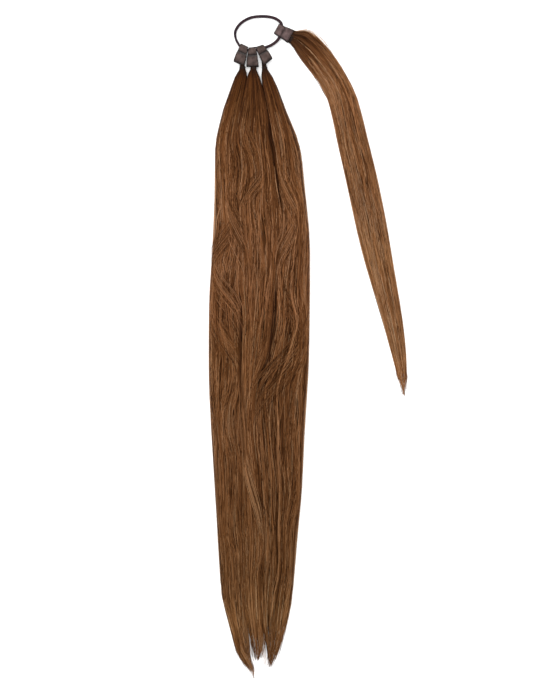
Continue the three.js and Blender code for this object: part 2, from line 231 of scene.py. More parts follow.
def turn_in_place(piece: bpy.types.Object, degrees: float) -> None:
    """Turns a piece about +Z and puts the turn into its mesh.

    Args:
        piece: The mesh object, unturned.
        degrees: The angle.
    """
    piece.matrix_world = Matrix(turn_about_z(degrees).tolist()).to_4x4()
    select_only(piece)
    bpy.ops.object.transform_apply(location=True, rotation=True, scale=True)


def lay_corner_map(mesh: bpy.types.Mesh, name: str, places: np.ndarray) -> None:
    """Gives a mesh one map, in the place of any that it has.

    Args:
        mesh: The mesh.
        name: The map's name.
        places: Where each corner lies on the map, one a row.
    """
    while mesh.uv_layers:
        mesh.uv_layers.remove(mesh.uv_layers[0])
    index = np.empty(len(mesh.loops), dtype=np.int32)
    mesh.loops.foreach_get("vertex_index", index)
    made = mesh.uv_layers.new(name=name)
    made.data.foreach_set("uv", places[index].reshape(-1))


class Shader:
    """A node material while it is being put together."""

    def __init__(self, name: str) -> None:
        """Starts a material with its principled surface.

        Args:
            name: The material's name.
        """
        self.material = bpy.data.materials.new(name)
        self.material.use_nodes = True
        self.tree = self.material.node_tree
        self.surface = self.tree.nodes["Principled BSDF"]

    def node(self, kind: str, **settings: object) -> bpy.types.Node:
        """Adds a node and sets its properties.

        Args:
            kind: Blender's node type.
            settings: Values for the node's own properties.

        Returns:
            The new node.
        """
        made = self.tree.nodes.new(kind)
        for name, value in settings.items():
            setattr(made, name, value)
        return made

    def link(self, source: bpy.types.NodeSocket, target: bpy.types.NodeSocket) -> None:
        """Joins two sockets."""
        self.tree.links.new(source, target)

    def ramp(
        self, factor: bpy.types.NodeSocket, stops: tuple[Stop, ...]
    ) -> bpy.types.NodeSocket:
        """Adds a colour ramp.

        Args:
            factor: The socket that drives the ramp.
            stops: Places from 0 to 1 with their colours, in order.

        Returns:
            The ramp's colour socket.
        """
        made = self.node("ShaderNodeValToRGB")
        elements = made.color_ramp.elements
        while len(elements) < len(stops):
            elements.new(0.5)
        for element, (place, colour) in zip(elements, stops):
            element.position = place
            element.color = rgba(colour)
        self.link(factor, made.inputs["Fac"])
        return made.outputs["Color"]

    def multiply(
        self, first: bpy.types.NodeSocket, second: bpy.types.NodeSocket
    ) -> bpy.types.NodeSocket:
        """Multiplies two colours.

        Args:
            first: One colour socket.
            second: The other colour socket.

        Returns:
            The socket of the product.
        """
        made = self.node("ShaderNodeMix", data_type="RGBA", blend_type="MULTIPLY")
        made.inputs["Factor"].default_value = 1.0
        self.link(first, made.inputs[6])
        self.link(second, made.inputs[7])
        return made.outputs[2]

    def noise(
        self, vector: bpy.types.NodeSocket, scale: float, detail: float = 3.0
    ) -> bpy.types.NodeSocket:
        """Adds a noise texture.

        Args:
            vector: The coordinates that it reads.
            scale: Its scale, in cells a metre.
            detail: Its octaves.

        Returns:
            The socket of its value.
        """
        made = self.node("ShaderNodeTexNoise")
        made.inputs["Scale"].default_value = scale
        made.inputs["Detail"].default_value = detail
        self.link(vector, made.inputs["Vector"])
        return made.outputs["Fac"]

    def bump(self, height: bpy.types.NodeSocket, depth: float, strength: float) -> None:
        """Raises the surface by a height.

        Args:
            height: The socket of the height, 0 to 1.
            depth: The full height in metres.
            strength: How much of it shows.
        """
        made = self.node("ShaderNodeBump")
        made.inputs["Distance"].default_value = depth
        made.inputs["Strength"].default_value = strength
        self.link(height, made.inputs["Height"])
        self.link(made.outputs["Normal"], self.surface.inputs["Normal"])

    def object_place(
        self, stretch: tuple[float, float, float] = (1.0, 1.0, 1.0)
    ) -> bpy.types.NodeSocket:
        """Adds the object coordinates.

        Args:
            stretch: A factor for each axis.

        Returns:
            The socket of the stretched coordinates.
        """
        place = self.node("ShaderNodeTexCoord")
        mapping = self.node("ShaderNodeMapping")
        mapping.inputs["Scale"].default_value = stretch
        self.link(place.outputs["Object"], mapping.inputs["Vector"])
        return mapping.outputs["Vector"]

    def map_parts(self, name: str) -> tuple[bpy.types.NodeSocket, bpy.types.NodeSocket]:
        """Adds a piece's own map.

        Args:
            name: The map's name.

        Returns:
            The sockets of its two coordinates.
        """
        own_map = self.node("ShaderNodeUVMap", uv_map=name)
        parts = self.node("ShaderNodeSeparateXYZ")
        self.link(own_map.outputs["UV"], parts.inputs["Vector"])
        return parts.outputs["X"], parts.outputs["Y"]

    def colour(self, socket: bpy.types.NodeSocket) -> None:
        """Sends a colour to the surface."""
        self.link(socket, self.surface.inputs["Base Color"])

    def set(self, **sockets: float | tuple[float, ...]) -> None:
        """Sets constants on the surface, with underscores for the spaces in a socket's name."""
        for name, value in sockets.items():
            self.surface.inputs[name.replace("_", " ")].default_value = value


@dataclass(frozen=True)
class Finish(ABC):
    """How a surface looks: its roughness and shine, and the colours and relief that each kind adds."""

    name: str
    roughness: float
    specular: float

    def material(self) -> bpy.types.Material:
        """Makes the finish's material.

        Returns:
            The node material.
        """
        shader = Shader(self.name)
        self.paint(shader)
        shader.set(Roughness=self.roughness, Specular_IOR_Level=self.specular)
        return shader.material

    @abstractmethod
    def paint(self, shader: Shader) -> None:
        """Gives a new material its colours and relief."""


@dataclass(frozen=True)
class StrandFinish(Finish):
    """Brown hair: each strand has a tone of its own, with painted light and shade down the fall and
    painted shade at its root.
    """

    name: str = "brown_hair_strands"
    roughness: float = 0.45
    specular: float = 0.03
    tones: tuple[Stop, ...] = (
        (0.0, (0.028, 0.008, 0.002)),
        (0.3, (0.100, 0.035, 0.009)),
        (0.65, (0.211, 0.084, 0.027)),
        (0.9, (0.355, 0.167, 0.071)),
        (1.0, (0.540, 0.304, 0.152)),
    )
    # The fall ramp is painted shade at the root and painted highlight and shade bands down the fall,
    # multiplied into each strand's tone.
    fall: tuple[Stop, ...] = (
        (0.0, (0.04, 0.03, 0.03)),
        (0.014, (0.06, 0.05, 0.04)),
        (0.024, (0.15, 0.11, 0.07)),
        (0.036, (0.29, 0.22, 0.12)),
        (0.065, (0.37, 0.31, 0.22)),
        (0.13, (0.59, 0.55, 0.51)),
        (0.21, (0.80, 0.80, 0.84)),
        (0.3, (0.82, 0.82, 0.90)),
        (0.42, (0.78, 0.77, 0.83)),
        (0.46, (0.66, 0.64, 0.62)),
        (0.55, (0.69, 0.69, 0.70)),
        (0.65, (0.67, 0.67, 0.69)),
        (0.72, (0.60, 0.59, 0.57)),
        (0.86, (0.62, 0.65, 0.66)),
        (0.92, (0.85, 0.95, 1.00)),
        (1.0, WHITE),
    )

    def paint(self, shader: Shader) -> None:
        """Colours the strands by their own map, with tone across it and the fall's painted light and
        shade along it.
        """
        tone, fall = shader.map_parts(STRAND_MAP)
        shader.colour(shader.multiply(shader.ramp(tone, self.tones), shader.ramp(fall, self.fall)))


@dataclass(frozen=True)
class CoreFinish(Finish):
    """The inside of a bundle, streaked along its length and painted dark as the shade deep in the hair.
    """

    name: str = "hair_core_painted_shade"
    roughness: float = 0.55
    specular: float = 0.05
    # Dark streak colours: painted shade, so that gaps between the strands read as shadowed hair.
    streaks: tuple[Stop, ...] = (
        (0.3, (0.020, 0.007, 0.002)),
        (0.55, (0.048, 0.018, 0.006)),
        (0.75, (0.085, 0.034, 0.012)),
    )
    stretch: tuple[float, float, float] = (1.0, 0.008, 0.4)
    streak_scale: float = 900.0
    streak_depth: float = 0.4 * MM
    streak_strength: float = 0.6

    def paint(self, shader: Shader) -> None:
        """Streaks the core.

        Args:
            shader: The new material.
        """
        streak = shader.noise(shader.object_place(self.stretch), self.streak_scale)
        shader.colour(shader.ramp(streak, self.streaks))
        shader.bump(streak, self.streak_depth, self.streak_strength)


@dataclass(frozen=True)
class SuedeFinish(Finish):
    """Napped tape: a soft brown in patches, darker at its edges and fold, partly the cut edges' own
    colour and partly painted shadow, and darker in its crease with painted shade.
    """

    name: str = "brown_suede"
    roughness: float = 0.95
    specular: float = 0.1
    shade: Colour = (0.038, 0.025, 0.022)
    tint: Colour = (0.088, 0.060, 0.053)
    # The sides and length ramps darken the edges and fold, partly the cut edges' own colour and partly
    # painted shadow, and the crease, with painted shade.
    sides: tuple[Stop, ...] = (
        (0.0, (0.16, 0.15, 0.15)),
        (0.1, WHITE),
        (0.9, WHITE),
        (1.0, (0.16, 0.15, 0.15)),
    )
    length: tuple[Stop, ...] = (
        (0.0, (0.4, 0.38, 0.36)),
        (0.1, (0.85, 0.85, 0.82)),
        (0.3, WHITE),
        (0.42, (0.85, 0.84, 0.84)),
        (0.5, (0.36, 0.35, 0.35)),
        (0.6, (0.85, 0.85, 0.85)),
        (0.72, WHITE),
        (0.93, (0.85, 0.85, 0.85)),
        (1.0, (0.25, 0.24, 0.24)),
    )
    fibres: tuple[Stop, ...] = ((0.3, (0.72, 0.72, 0.72)), (0.7, WHITE))
    nap_depth: float = 0.15 * MM
    nap_strength: float = 0.7
    sheen: float = 0.15
    sheen_roughness: float = 0.5

    def paint(self, shader: Shader) -> None:
        """Mottles the tape, and darkens it by its own map, across it, then along it: painted shadow with
        the cut edges' own colour at its edges, painted shade in its crease.

        Args:
            shader: The new material.
        """
        place = shader.object_place()
        nap = shader.noise(place, NoiseKind.NAP.value, FEW_OCTAVES)
        patch = shader.noise(place, NoiseKind.PATCH.value)
        patches = shader.ramp(patch, ((0.35, self.shade), (0.65, self.tint)))
        across, along = shader.map_parts(TAPE_MAP)
        # Painted shadow and the cut edges' own colour at the edges and fold, painted shade in the crease.
        darkening = shader.multiply(shader.ramp(across, self.sides), shader.ramp(along, self.length))
        napped = shader.multiply(patches, shader.ramp(nap, self.fibres))
        shader.colour(shader.multiply(napped, darkening))
        shader.bump(nap, self.nap_depth, self.nap_strength)
        shader.set(Sheen_Weight=self.sheen, Sheen_Roughness=self.sheen_roughness)


@dataclass(frozen=True)
class ElasticFinish(Finish):
    """The elastic's braided cover: fine ribs round the cord over a dark plum brown."""

    name: str = "braided_elastic"
    roughness: float = 0.8
    specular: float = 0.15
    groove: Colour = (0.009, 0.004, 0.006)
    rib: Colour = (0.044, 0.023, 0.029)
    ribs: tuple[float, float, float] = (2.0, 170.0, 1.0)
    rib_scale: float = 0.5
    rib_wobble: float = 1.2
    rib_depth: float = 0.2 * MM
    rib_strength: float = 0.8
    darkening: tuple[Stop, ...] = ((0.35, (0.55, 0.52, 0.66)), (0.6, (1.0, 0.92, 0.86)))
    worn_scale: float = 90.0
    sheen: float = 0.06

    def paint(self, shader: Shader) -> None:
        """Ribs the cover by the cord's own map: round it, then along it.

        Args:
            shader: The new material.
        """
        cord_map = shader.node("ShaderNodeUVMap", uv_map=CORD_MAP)
        mapping = shader.node("ShaderNodeMapping")
        mapping.inputs["Scale"].default_value = self.ribs
        shader.link(cord_map.outputs["UV"], mapping.inputs["Vector"])
        wave = shader.node("ShaderNodeTexWave", wave_type="BANDS", bands_direction="DIAGONAL")
        wave.inputs["Scale"].default_value = self.rib_scale
        wave.inputs["Distortion"].default_value = self.rib_wobble
        shader.link(mapping.outputs["Vector"], wave.inputs["Vector"])
        weave = shader.ramp(wave.outputs["Fac"], ((0.1, self.groove), (0.7, self.rib)))
        darkening = shader.noise(shader.object_place(), self.worn_scale, FEW_OCTAVES)
        shader.colour(shader.multiply(weave, shader.ramp(darkening, self.darkening)))
        shader.bump(wave.outputs["Fac"], self.rib_depth, self.rib_strength)
        shader.set(Sheen_Weight=self.sheen)


@dataclass(frozen=True)
class ThreadFinish(Finish):
    """Sewing thread: dark brown with a fine twist."""

    name: str = "brown_thread"
    roughness: float = 0.75
    specular: float = 0.1
    shade: Colour = (0.006, 0.003, 0.002)
    tint: Colour = (0.022, 0.012, 0.008)
    twist_scale: float = 3200.0
    twist_depth: float = 0.1 * MM
    twist_strength: float = 0.6

    def paint(self, shader: Shader) -> None:
        """Twists the thread.

        Args:
            shader: The new material.
        """
        twist = shader.noise(shader.object_place(), self.twist_scale, FEW_OCTAVES)
        shader.colour(shader.ramp(twist, ((0.3, self.shade), (0.7, self.tint))))
        shader.bump(twist, self.twist_depth, self.twist_strength)


@dataclass(frozen=True)
class FloorFinish(Finish):
    """The pale table, which glows a little so that gaps in the hair stay pale."""

    name: str = "pale_table"
    roughness: float = 0.9
    specular: float = 0.1
    shade: Colour = (0.86, 0.86, 0.86)
    tint: Colour = (0.90, 0.90, 0.90)
    grain_scale: float = 3.0
    glow: float = 0.12

    def paint(self, shader: Shader) -> None:
        """Grains the table and makes it glow.

        Args:
            shader: The new material.
        """
        grain = shader.noise(shader.object_place(), self.grain_scale)
        shader.colour(shader.ramp(grain, ((0.3, self.shade), (0.7, self.tint))))
        shader.set(Emission_Color=rgba(WHITE), Emission_Strength=self.glow)


class CadCut:
    """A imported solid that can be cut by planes, to read its form."""

    def __init__(self, node: bpy.types.Object) -> None:
        """Reads the solid's triangles.

        Args:
            node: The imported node.
        """
        mesh = node.data
        mesh.calc_loop_triangles()
        self.corners = corners_of(mesh)
        index = np.empty(len(mesh.loop_triangles) * 3, dtype=np.int64)
        mesh.loop_triangles.foreach_get("vertices", index)
        self.triangles = self.corners[index.reshape(-1, 3)]

    def section(self, point: np.ndarray, normal: np.ndarray) -> np.ndarray:
        """Cuts the solid with a plane.

        Args:
            point: A point on the plane.
            normal: The plane's normal.

        Returns:
            The points where the triangles' edges cross the plane, one a row.
        """
        height = (self.triangles - point) @ normal
        crossings = []
        for first, second in ((0, 1), (1, 2), (2, 0)):
            cut = (height[:, first] < 0.0) != (height[:, second] < 0.0)
            low, high = height[cut, first], height[cut, second]
            start, end = self.triangles[cut, first], self.triangles[cut, second]
            crossings.append(start + (low / (low - high))[:, None] * (end - start))
        return np.concatenate(crossings)


@dataclass
class HairForm:
    """The outer form of a bundle of hair: sections along it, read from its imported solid.

    Each section has its distance from the root, its middle, the direction across it, its half
    width, and the heights of its floor and of its crest. The sides are the heights of the left and
    right sides as shares of the depth.
    """

    along: np.ndarray
    middle: np.ndarray
    across: np.ndarray
    half: np.ndarray
    floor: np.ndarray
    crest: np.ndarray
    sides: tuple[float, float]

    ROOT_BAND = 0.5 * MM
    FIRST_STEP = 0.1 * MM
    STEP = 2.0 * MM
    REACH = 40.0 * MM
    FALL_AWAY = 2.5 * MM
    ROUND_POWER = 2.6
    CROWN_POWER = 0.6
    LINE_SMOOTHING = 1
    TURN_SMOOTHING = 3
    CREST_SMOOTHING = 4

    @classmethod
    def read(
        cls, cut: CadCut, heading: np.ndarray, follows: bool, sides: tuple[float, float]
    ) -> HairForm:
        """Walks down a bundle from its root and keeps a section at each step.

        Args:
            cut: The bundle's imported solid.
            heading: The direction in which the hair leaves its root.
            follows: Whether the sections turn with the hair.
            sides: The height of the left and right sides as a share of the depth.

        Returns:
            The form.
        """
        reach = cut.corners @ heading
        spot = cut.corners[reach < reach.min() + cls.ROOT_BAND].mean(axis=0) * (1.0, 1.0, 0.0)
        spot = spot + heading * cls.FIRST_STEP
        rows = []
        while True:
            section = cut.section(spot, heading)
            section = section[np.linalg.norm((section - spot)[:, :2], axis=1) < cls.REACH]
            if len(section) < 3:
                break
            across = np.array([-heading[1], heading[0], 0.0])
            offset = (section - spot) @ across
            spot = spot + across * (offset.min() + offset.max()) / 2.0
            if follows and rows:
                ahead = spot - rows[-1][0]
                heading = heading + ahead / np.linalg.norm(ahead)
                heading = heading / np.linalg.norm(heading)
            half = (offset.max() - offset.min()) / 2.0
            rows.append((spot, across, half, section[:, 2].min(), section[:, 2].max()))
            spot = spot + heading * cls.STEP
        middle, across, half, floor, crest = (np.array(column) for column in zip(*rows))
        steps = np.linalg.norm(np.diff(middle, axis=0), axis=1)
        return cls(
            along=np.concatenate([[0.0], np.cumsum(steps)]),
            middle=cls.smoothed(middle, cls.LINE_SMOOTHING),
            across=cls.smoothed(across, cls.TURN_SMOOTHING),
            half=cls.smoothed(half, cls.LINE_SMOOTHING),
            floor=floor,
            crest=cls.smoothed(crest, cls.CREST_SMOOTHING),
            sides=sides,
        )

    @staticmethod
    def smoothed(values: np.ndarray, reach: int) -> np.ndarray:
        """Evens out a column of values.

        Args:
            values: The values, one section a row.
            reach: How many neighbours on each side count.

        Returns:
            The evened values.
        """
        padded = np.concatenate([values[:1]] * reach + [values] + [values[-1:]] * reach)
        windows = [padded[i : i + len(values)] for i in range(2 * reach + 1)]
        return np.mean(windows, axis=0)

    @property
    def length(self) -> float:
        """The distance from the root to the last section."""
        return float(self.along[-1])

    def at(self, along: np.ndarray, column: np.ndarray) -> np.ndarray:
        """Reads a column of the sections at any distances.

        Args:
            along: Distances from the root.
            column: The column, with one or three numbers a section.

        Returns:
            The column's values there.
        """
        if column.ndim == 1:
            return np.interp(along, self.along, column)
        return np.stack([np.interp(along, self.along, part) for part in column.T], axis=-1)

    def crown(self, share: np.ndarray) -> np.ndarray:
        """Finds the top's height.

        Args:
            share: Places across, -1 at the left side and 1 at the right.

        Returns:
            The heights there as shares of the depth.
        """
        inside = np.clip(share, -1.0, 1.0)
        side = between(*self.sides, (inside + 1.0) / 2.0)
        return side + (1.0 - side) * (1.0 - np.abs(inside) ** self.ROUND_POWER) ** self.CROWN_POWER

    def place(self, along: np.ndarray, share: np.ndarray) -> np.ndarray:
        """Finds points on the top of the form.

        Args:
            along: Distances from the root.
            share: Places across, -1 at the left side and 1 at the right.

        Returns:
            The points.
        """
        across = self.at(along, self.across)
        points = self.at(along, self.middle) + across * (self.at(along, self.half) * share)[..., None]
        floor = self.at(along, self.floor)
        points[..., 2] = between(floor, self.at(along, self.crest), self.crown(share))
        return points

    def top_below(self, points: np.ndarray) -> np.ndarray:
        """Finds the top of a form that falls along -Y, under any points.

        Args:
            points: The points.

        Returns:
            The top's heights, which fall away to nothing beside the form.
        """
        along = np.clip(self.middle[0, 1] - points[..., 1], 0.0, self.length)
        half = self.at(along, self.half)
        share = (points[..., 0] - self.at(along, self.middle)[..., 0]) / half
        beside = np.maximum(np.abs(share) - 1.0, 0.0) * half / self.FALL_AWAY
        floor = self.at(along, self.floor)
        top = between(floor, self.at(along, self.crest), self.crown(share))
        return top * np.exp(-(beside**2))


@dataclass
class Strands:
    """Strands of hair as lines of points, with the same number of points in each.

    Each point has its radius and its place down the fall, and each strand its tone.
    """

    points: np.ndarray
    radius: np.ndarray
    tone: np.ndarray
    fall: np.ndarray

    def rings(self) -> np.ndarray:
        """Works out the corners of each strand's sections.

        Returns:
            The corners, by strand, point, corner and coordinate.
        """
        ahead = np.gradient(self.points, axis=1)
        ahead /= np.linalg.norm(ahead, axis=2, keepdims=True)
        side = np.cross(ahead, UP)
        side /= np.linalg.norm(side, axis=2, keepdims=True)
        rise = np.cross(side, ahead)
        angles = np.pi / 2.0 + FULL_TURN * np.arange(STRAND_SIDES) / STRAND_SIDES
        spokes = [math.cos(angle) * side + math.sin(angle) * rise for angle in angles]
        return np.stack([self.points + self.radius[..., None] * spoke for spoke in spokes], axis=2)


class StrandMesh:
    """Closed three-sided strands that are joined into one mesh, with a map of tone and fall."""

    def __init__(self, groups: list[Strands]) -> None:
        """Lays out the corners, faces and map of several groups of strands.

        Args:
            groups: The groups.
        """
        tones = np.concatenate([group.tone for group in groups])
        ranks = np.empty(len(tones))
        ranks[np.argsort(tones)] = np.arange(len(tones)) / len(tones)
        self.strip = 1.0 / len(tones)
        self.corners: list[np.ndarray] = []
        self.faces: list[np.ndarray] = []
        self.map: list[np.ndarray] = []
        first_corner = 0
        first_strand = 0
        for group in groups:
            count = len(group.tone)
            self.add(group, ranks[first_strand : first_strand + count], first_corner)
            first_corner += group.radius.size * STRAND_SIDES
            first_strand += count

    def add(self, group: Strands, ranks: np.ndarray, first_corner: int) -> None:
        """Adds one group of strands.

        Args:
            group: The strands.
            ranks: Where each strand's tone comes among all, 0 to 1.
            first_corner: The number of corners before this group.
        """
        count, knots = group.radius.shape
        shape = (count, knots, STRAND_SIDES)
        index = first_corner + np.arange(count * knots * STRAND_SIDES).reshape(shape)
        beside = np.roll(index, -1, axis=2)
        walls = (index[:, :-1], index[:, 1:], beside[:, 1:], beside[:, :-1])
        side = np.arange(STRAND_SIDES) / STRAND_SIDES * self.strip
        tone = np.broadcast_to(ranks[:, None, None] + side, shape)
        tone_beside = tone + self.strip / STRAND_SIDES
        fall = np.broadcast_to(group.fall[:, :, None], shape)
        tones = (tone[:, :-1], tone[:, 1:], tone_beside[:, 1:], tone_beside[:, :-1])
        falls = (fall[:, :-1], fall[:, 1:], fall[:, 1:], fall[:, :-1])
        self.corners.append(group.rings().reshape(-1, 3))
        self.faces.append(np.stack(walls, axis=-1).reshape(-1, 4))
        self.map.append(np.stack([np.stack(tones, -1), np.stack(falls, -1)], axis=-1).reshape(-1, 2))
        for end, order in ((0, slice(None)), (-1, slice(None, None, -1))):
            self.faces.append(index[:, end, order])
            self.map.append(np.stack([tone[:, end, order], fall[:, end, order]], axis=-1).reshape(-1, 2))

    def piece(self, name: str) -> bpy.types.Object:
        """Makes the object.

        Args:
            name: The name of the object and its mesh.

        Returns:
            The object, linked to the scene.
        """
        mesh = bpy.data.meshes.new(name)
        corners = np.concatenate(self.corners)
        mesh.vertices.add(len(corners))
        mesh.vertices.foreach_set("co", corners.reshape(-1))
        loops = np.concatenate([faces.reshape(-1) for faces in self.faces])
        mesh.loops.add(len(loops))
        mesh.loops.foreach_set("vertex_index", loops.astype(np.int32))
        sizes = np.concatenate([np.full(len(faces), faces.shape[1]) for faces in self.faces])
        mesh.polygons.add(len(sizes))
        mesh.polygons.foreach_set("loop_start", (np.cumsum(sizes) - sizes).astype(np.int32))
        mesh.update(calc_edges=True)
        strand_map = mesh.uv_layers.new(name=STRAND_MAP)
        strand_map.data.foreach_set("uv", np.concatenate(self.map).reshape(-1))
        mesh.shade_smooth()
        mesh.validate()
        made = bpy.data.objects.new(name, mesh)
        bpy.context.scene.collection.objects.link(made)
        return made


@dataclass(frozen=True)
class StrandPlan:
    """How one kind of strand is made: how many, with how many knots, and how thick."""

    count: int
    knots: int
    radius: float


@dataclass
class Draws:
    """Random numbers for strands, locks or wisps, drawn as columns with one of them a row."""

    random: np.random.Generator
    count: int

    def even(self, low: float, high: float) -> np.ndarray:
        """Returns numbers spread evenly between two."""
        return self.random.uniform(low, high, self.count)[:, None]

    def near(self, spread: float) -> np.ndarray:
        """Returns numbers that gather round 0."""
        return self.random.normal(0.0, spread, self.count)[:, None]

    def turn(self) -> np.ndarray:
        """Returns angles all round."""
        return self.even(0.0, FULL_TURN)

    def chance(self, share: float) -> np.ndarray:
        """Returns True for about that share of them."""
        return self.random.random(self.count)[:, None] < share


@dataclass(frozen=True)
class EndStyle:
    """How strands end before their bundle's tip, in shares of its length.

    Most end a little before it, full ones run nearly to it, and ragged ones stop well before it.
    """

    spread: float = 0.035
    full: float = 0.28
    full_spread: float = 0.15
    ragged: float = 0.1


@dataclass(frozen=True)
class LockStyle:
    """How the locks on top of a bundle lie.

    A lock drifts, sways and pinches, its wisps wander in it, and its strands crimp and gather at
    their ends. The waves are lengths, apart from those of the pinch and the swell, which are shares
    of the lock's own. The neck, calming, gathering and tips are stretches of the fall, from 0 at
    the root to 1 at the tip.
    """

    slot: Span = (0.1, 0.9)
    drift: float = 0.1
    drift_middle: float = 0.4
    sway: Span = (0.4 * MM, 1.3 * MM)
    wave: Span = (70.0 * MM, 140.0 * MM)
    width: Span = (0.9, 2.0)
    pinch: float = 0.25
    pinch_wave: float = 0.7
    neck: Span = (0.0, 0.15)
    calm: float = 0.6
    calming: Span = (0.5, 0.8)
    wander: float = 0.5 * MM
    wisp_wave: Span = (45.0 * MM, 90.0 * MM)
    crimp_wave: Span = (24.0 * MM, 36.0 * MM)
    own_place: float = 0.11
    own_end: float = 0.006
    gather: float = 0.85
    gathering: Span = (0.86, 1.0)
    tip_spread: float = 1.5 * MM
    tips: Span = (0.9, 1.0)
    bend: Span = (0.7, 1.2)
    layer_rise: float = 1.6 * MM
    lock_rise: float = 0.9 * MM
    swell: float = 0.4 * MM
    swell_wave: float = 0.8
    wisp_rise: float = 0.4 * MM
    own_rise: float = 0.15 * MM
    lock_tone: float = 0.08
    # The layer and rise tones paint higher locks and wisps lighter and lower ones darker: painted light
    # and shade.
    layer_painted_shading: float = 0.08
    wisp_tone: float = 0.13
    rise_painted_shading: float = 0.1
    own_tone: float = 0.4


@dataclass(frozen=True)
class EdgeStyle:
    """How strands lie down the sides of a bundle, painted paler on the outer sides of the fall as painted
    light where the edges glow, and darker at the partings with painted shade.
    """

    cut_back: float = 0.015
    sway: float = 0.015
    wave: float = 160.0 * MM
    place: Span = (0.92, 1.04)
    height: Span = (0.06, 0.95)
    outer_painted_glow: Span = (0.65, 1.15)
    inner_painted_shade: Span = (0.0, 0.25)


@dataclass(frozen=True)
class UnderStyle:
    """How strands lie on the table side of a bundle."""

    cut_back: float = 0.015
    sway: float = 0.03
    wave: float = 250.0 * MM
    place: Span = (-1.05, 1.05)
    height: Span = (0.01, 0.05)
    tone: Span = (0.0, 0.9)


@dataclass(frozen=True)
class StrayStyle:
    """How loose strands lie across the top of a bundle, sunk in it at the neck."""

    drift: float = 0.4
    drift_middle: float = 0.5
    sway: float = 0.09
    wave: Span = (100.0 * MM, 250.0 * MM)
    place: Span = (-0.85, 0.85)
    neck: Span = (0.0, 0.12)
    rise: Span = (2.6 * MM, 3.7 * MM)
    sunk: float = 1.0 * MM
    bend: float = 0.6
    tone: Span = (0.6, 1.2)
    first_fall: float = 0.12


@dataclass(frozen=True)
class MingleStyle:
    """How short slanting wisps lie, straighter at the neck and in the lower fall."""

    strands: int = 2
    centre: Span = (0.08, 0.9)
    neck: Span = (0.08, 0.2)
    calm: float = 0.6
    calming: Span = (0.5, 0.7)
    slant: float = 0.1
    least_slant: float = 0.15
    bow: float = 0.8 * MM
    least_bow: float = 0.3
    span: Span = (50.0 * MM, 110.0 * MM)
    place: Span = (-0.95, 0.95)
    late: float = 8.0 * MM
    own_place: float = 0.18 * MM
    crest: Span = (1.6 * MM, 3.0 * MM)
    own_rise: float = 0.15 * MM
    sunk: float = -2.0 * MM
    bend: Span = (0.5, 1.5)
    tone: Span = (0.16, 0.42)
    own_tone: float = 0.4


@dataclass(frozen=True)
class SweepStyle:
    """What all locks that sweep across the fall have in common."""

    most_hidden: float = 0.45
    most_late: float = 0.2
    late: float = 0.05
    first_spread: float = 0.8
    least_spread: float = 0.1
    crest: float = 2.5 * MM
    roundness: float = 0.6 * MM
    own_rise: float = 0.15 * MM
    sunk: float = -2.6 * MM
    own_tone: float = 0.45


@dataclass(frozen=True)
class FlyawayStyle:
    """How loose pale hair bows out past a side, with its lateness in millimetres."""

    late: float = 6.0
    place: Span = (0.82, 0.98)
    bow_power: float = 0.8
    reach: Span = (0.2, 1.0)
    height: Span = (0.7, 1.1)
    tone: Span = (0.75, 1.25)
    fall: Span = (0.5, 0.8)


@dataclass(frozen=True)
class Wave:
    """A place where the hair leans to one side, seen from above.

    Places and sizes are in millimetres, across and down from the middle of the elastic ring.
    """

    across: float
    down: float
    lean_deg: float
    tall: float
    wide: float

    FADE = 4.0

    def shift(self, across: np.ndarray, down: np.ndarray) -> np.ndarray:
        """Finds how far hair is moved to the right, all in millimetres.

        Args:
            across: Places across.
            down: Places down.

        Returns:
            The moves.
        """
        rise = (down - self.down) / self.tall
        aside = (across - self.across) / self.wide
        lean = math.tan(math.radians(self.lean_deg)) * self.tall
        return lean * rise / (1.0 + rise**2) * np.exp(-((rise / self.FADE) ** 2) - aside**2)


@dataclass(frozen=True)
class Sweep:
    """A short lock that rises out of the hair, crosses it and sinks in again.

    Its two ends are in millimetres, across and down from the middle of the elastic ring, and so
    are its half width and how far it runs on, sunk in the hair, past each end. It widens on its
    way by the flare, and narrows where that is below 0. Its strands' thickness is cut to the share
    that thin gives. It turns straight down at its ends, or goes on across by the share in run_on.
    """

    start: tuple[float, float]
    end: tuple[float, float]
    wide: float
    tone: float
    flare: float = 0.3
    thin: float = 1.0
    sink: float = 18.0
    run_on: float = 0.0


@dataclass(frozen=True)
class Flyaway:
    """Loose pale hair that bows out past the right side of a bundle and joins it again.

    Its ends are in millimetres down the bundle, and its reach in millimetres past the side.
    """

    start: float
    end: float
    reach: float


@dataclass(frozen=True)
class Flow:
    """The waves of the fall, placed from the middle of the elastic ring."""

    waves: tuple[Wave, ...]
    middle: tuple[float, float]

    def shift(self, points: np.ndarray) -> np.ndarray:
        """Finds how far hair is moved to the right.

        Args:
            points: Points on the hair.

        Returns:
            The moves in metres.
        """
        across = (points[..., 0] - self.middle[0]) / MM
        down = (self.middle[1] - points[..., 1]) / MM
        return sum(wave.shift(across, down) for wave in self.waves) * MM

    def place(self, across: np.ndarray, down: np.ndarray) -> np.ndarray:
        """Finds points on the table.

        Args:
            across: Places to the right of the ring's middle, in millimetres.
            down: Places below it.

        Returns:
            The points in metres.
        """
        x = self.middle[0] + across * MM
        y = self.middle[1] - down * MM
        return np.stack([x, y, np.zeros_like(x)], axis=-1)


@dataclass(frozen=True)
class Parting:
    """The line between two bundles, which strands cross where the hair has run together.

    Each row is a place down the fall, 0 at the root and 1 at the tip, and how far strands cross
    there, as a share of their bundle's half width. A valley is left where that is below 0.
    """

    rows: tuple[tuple[float, float], ...]
    outer: bool = False

    def crossing(self, fall: np.ndarray) -> np.ndarray:
        """Returns how far strands cross the line at places down the fall."""
        places, crossings = zip(*self.rows)
        return np.interp(fall, places, crossings)


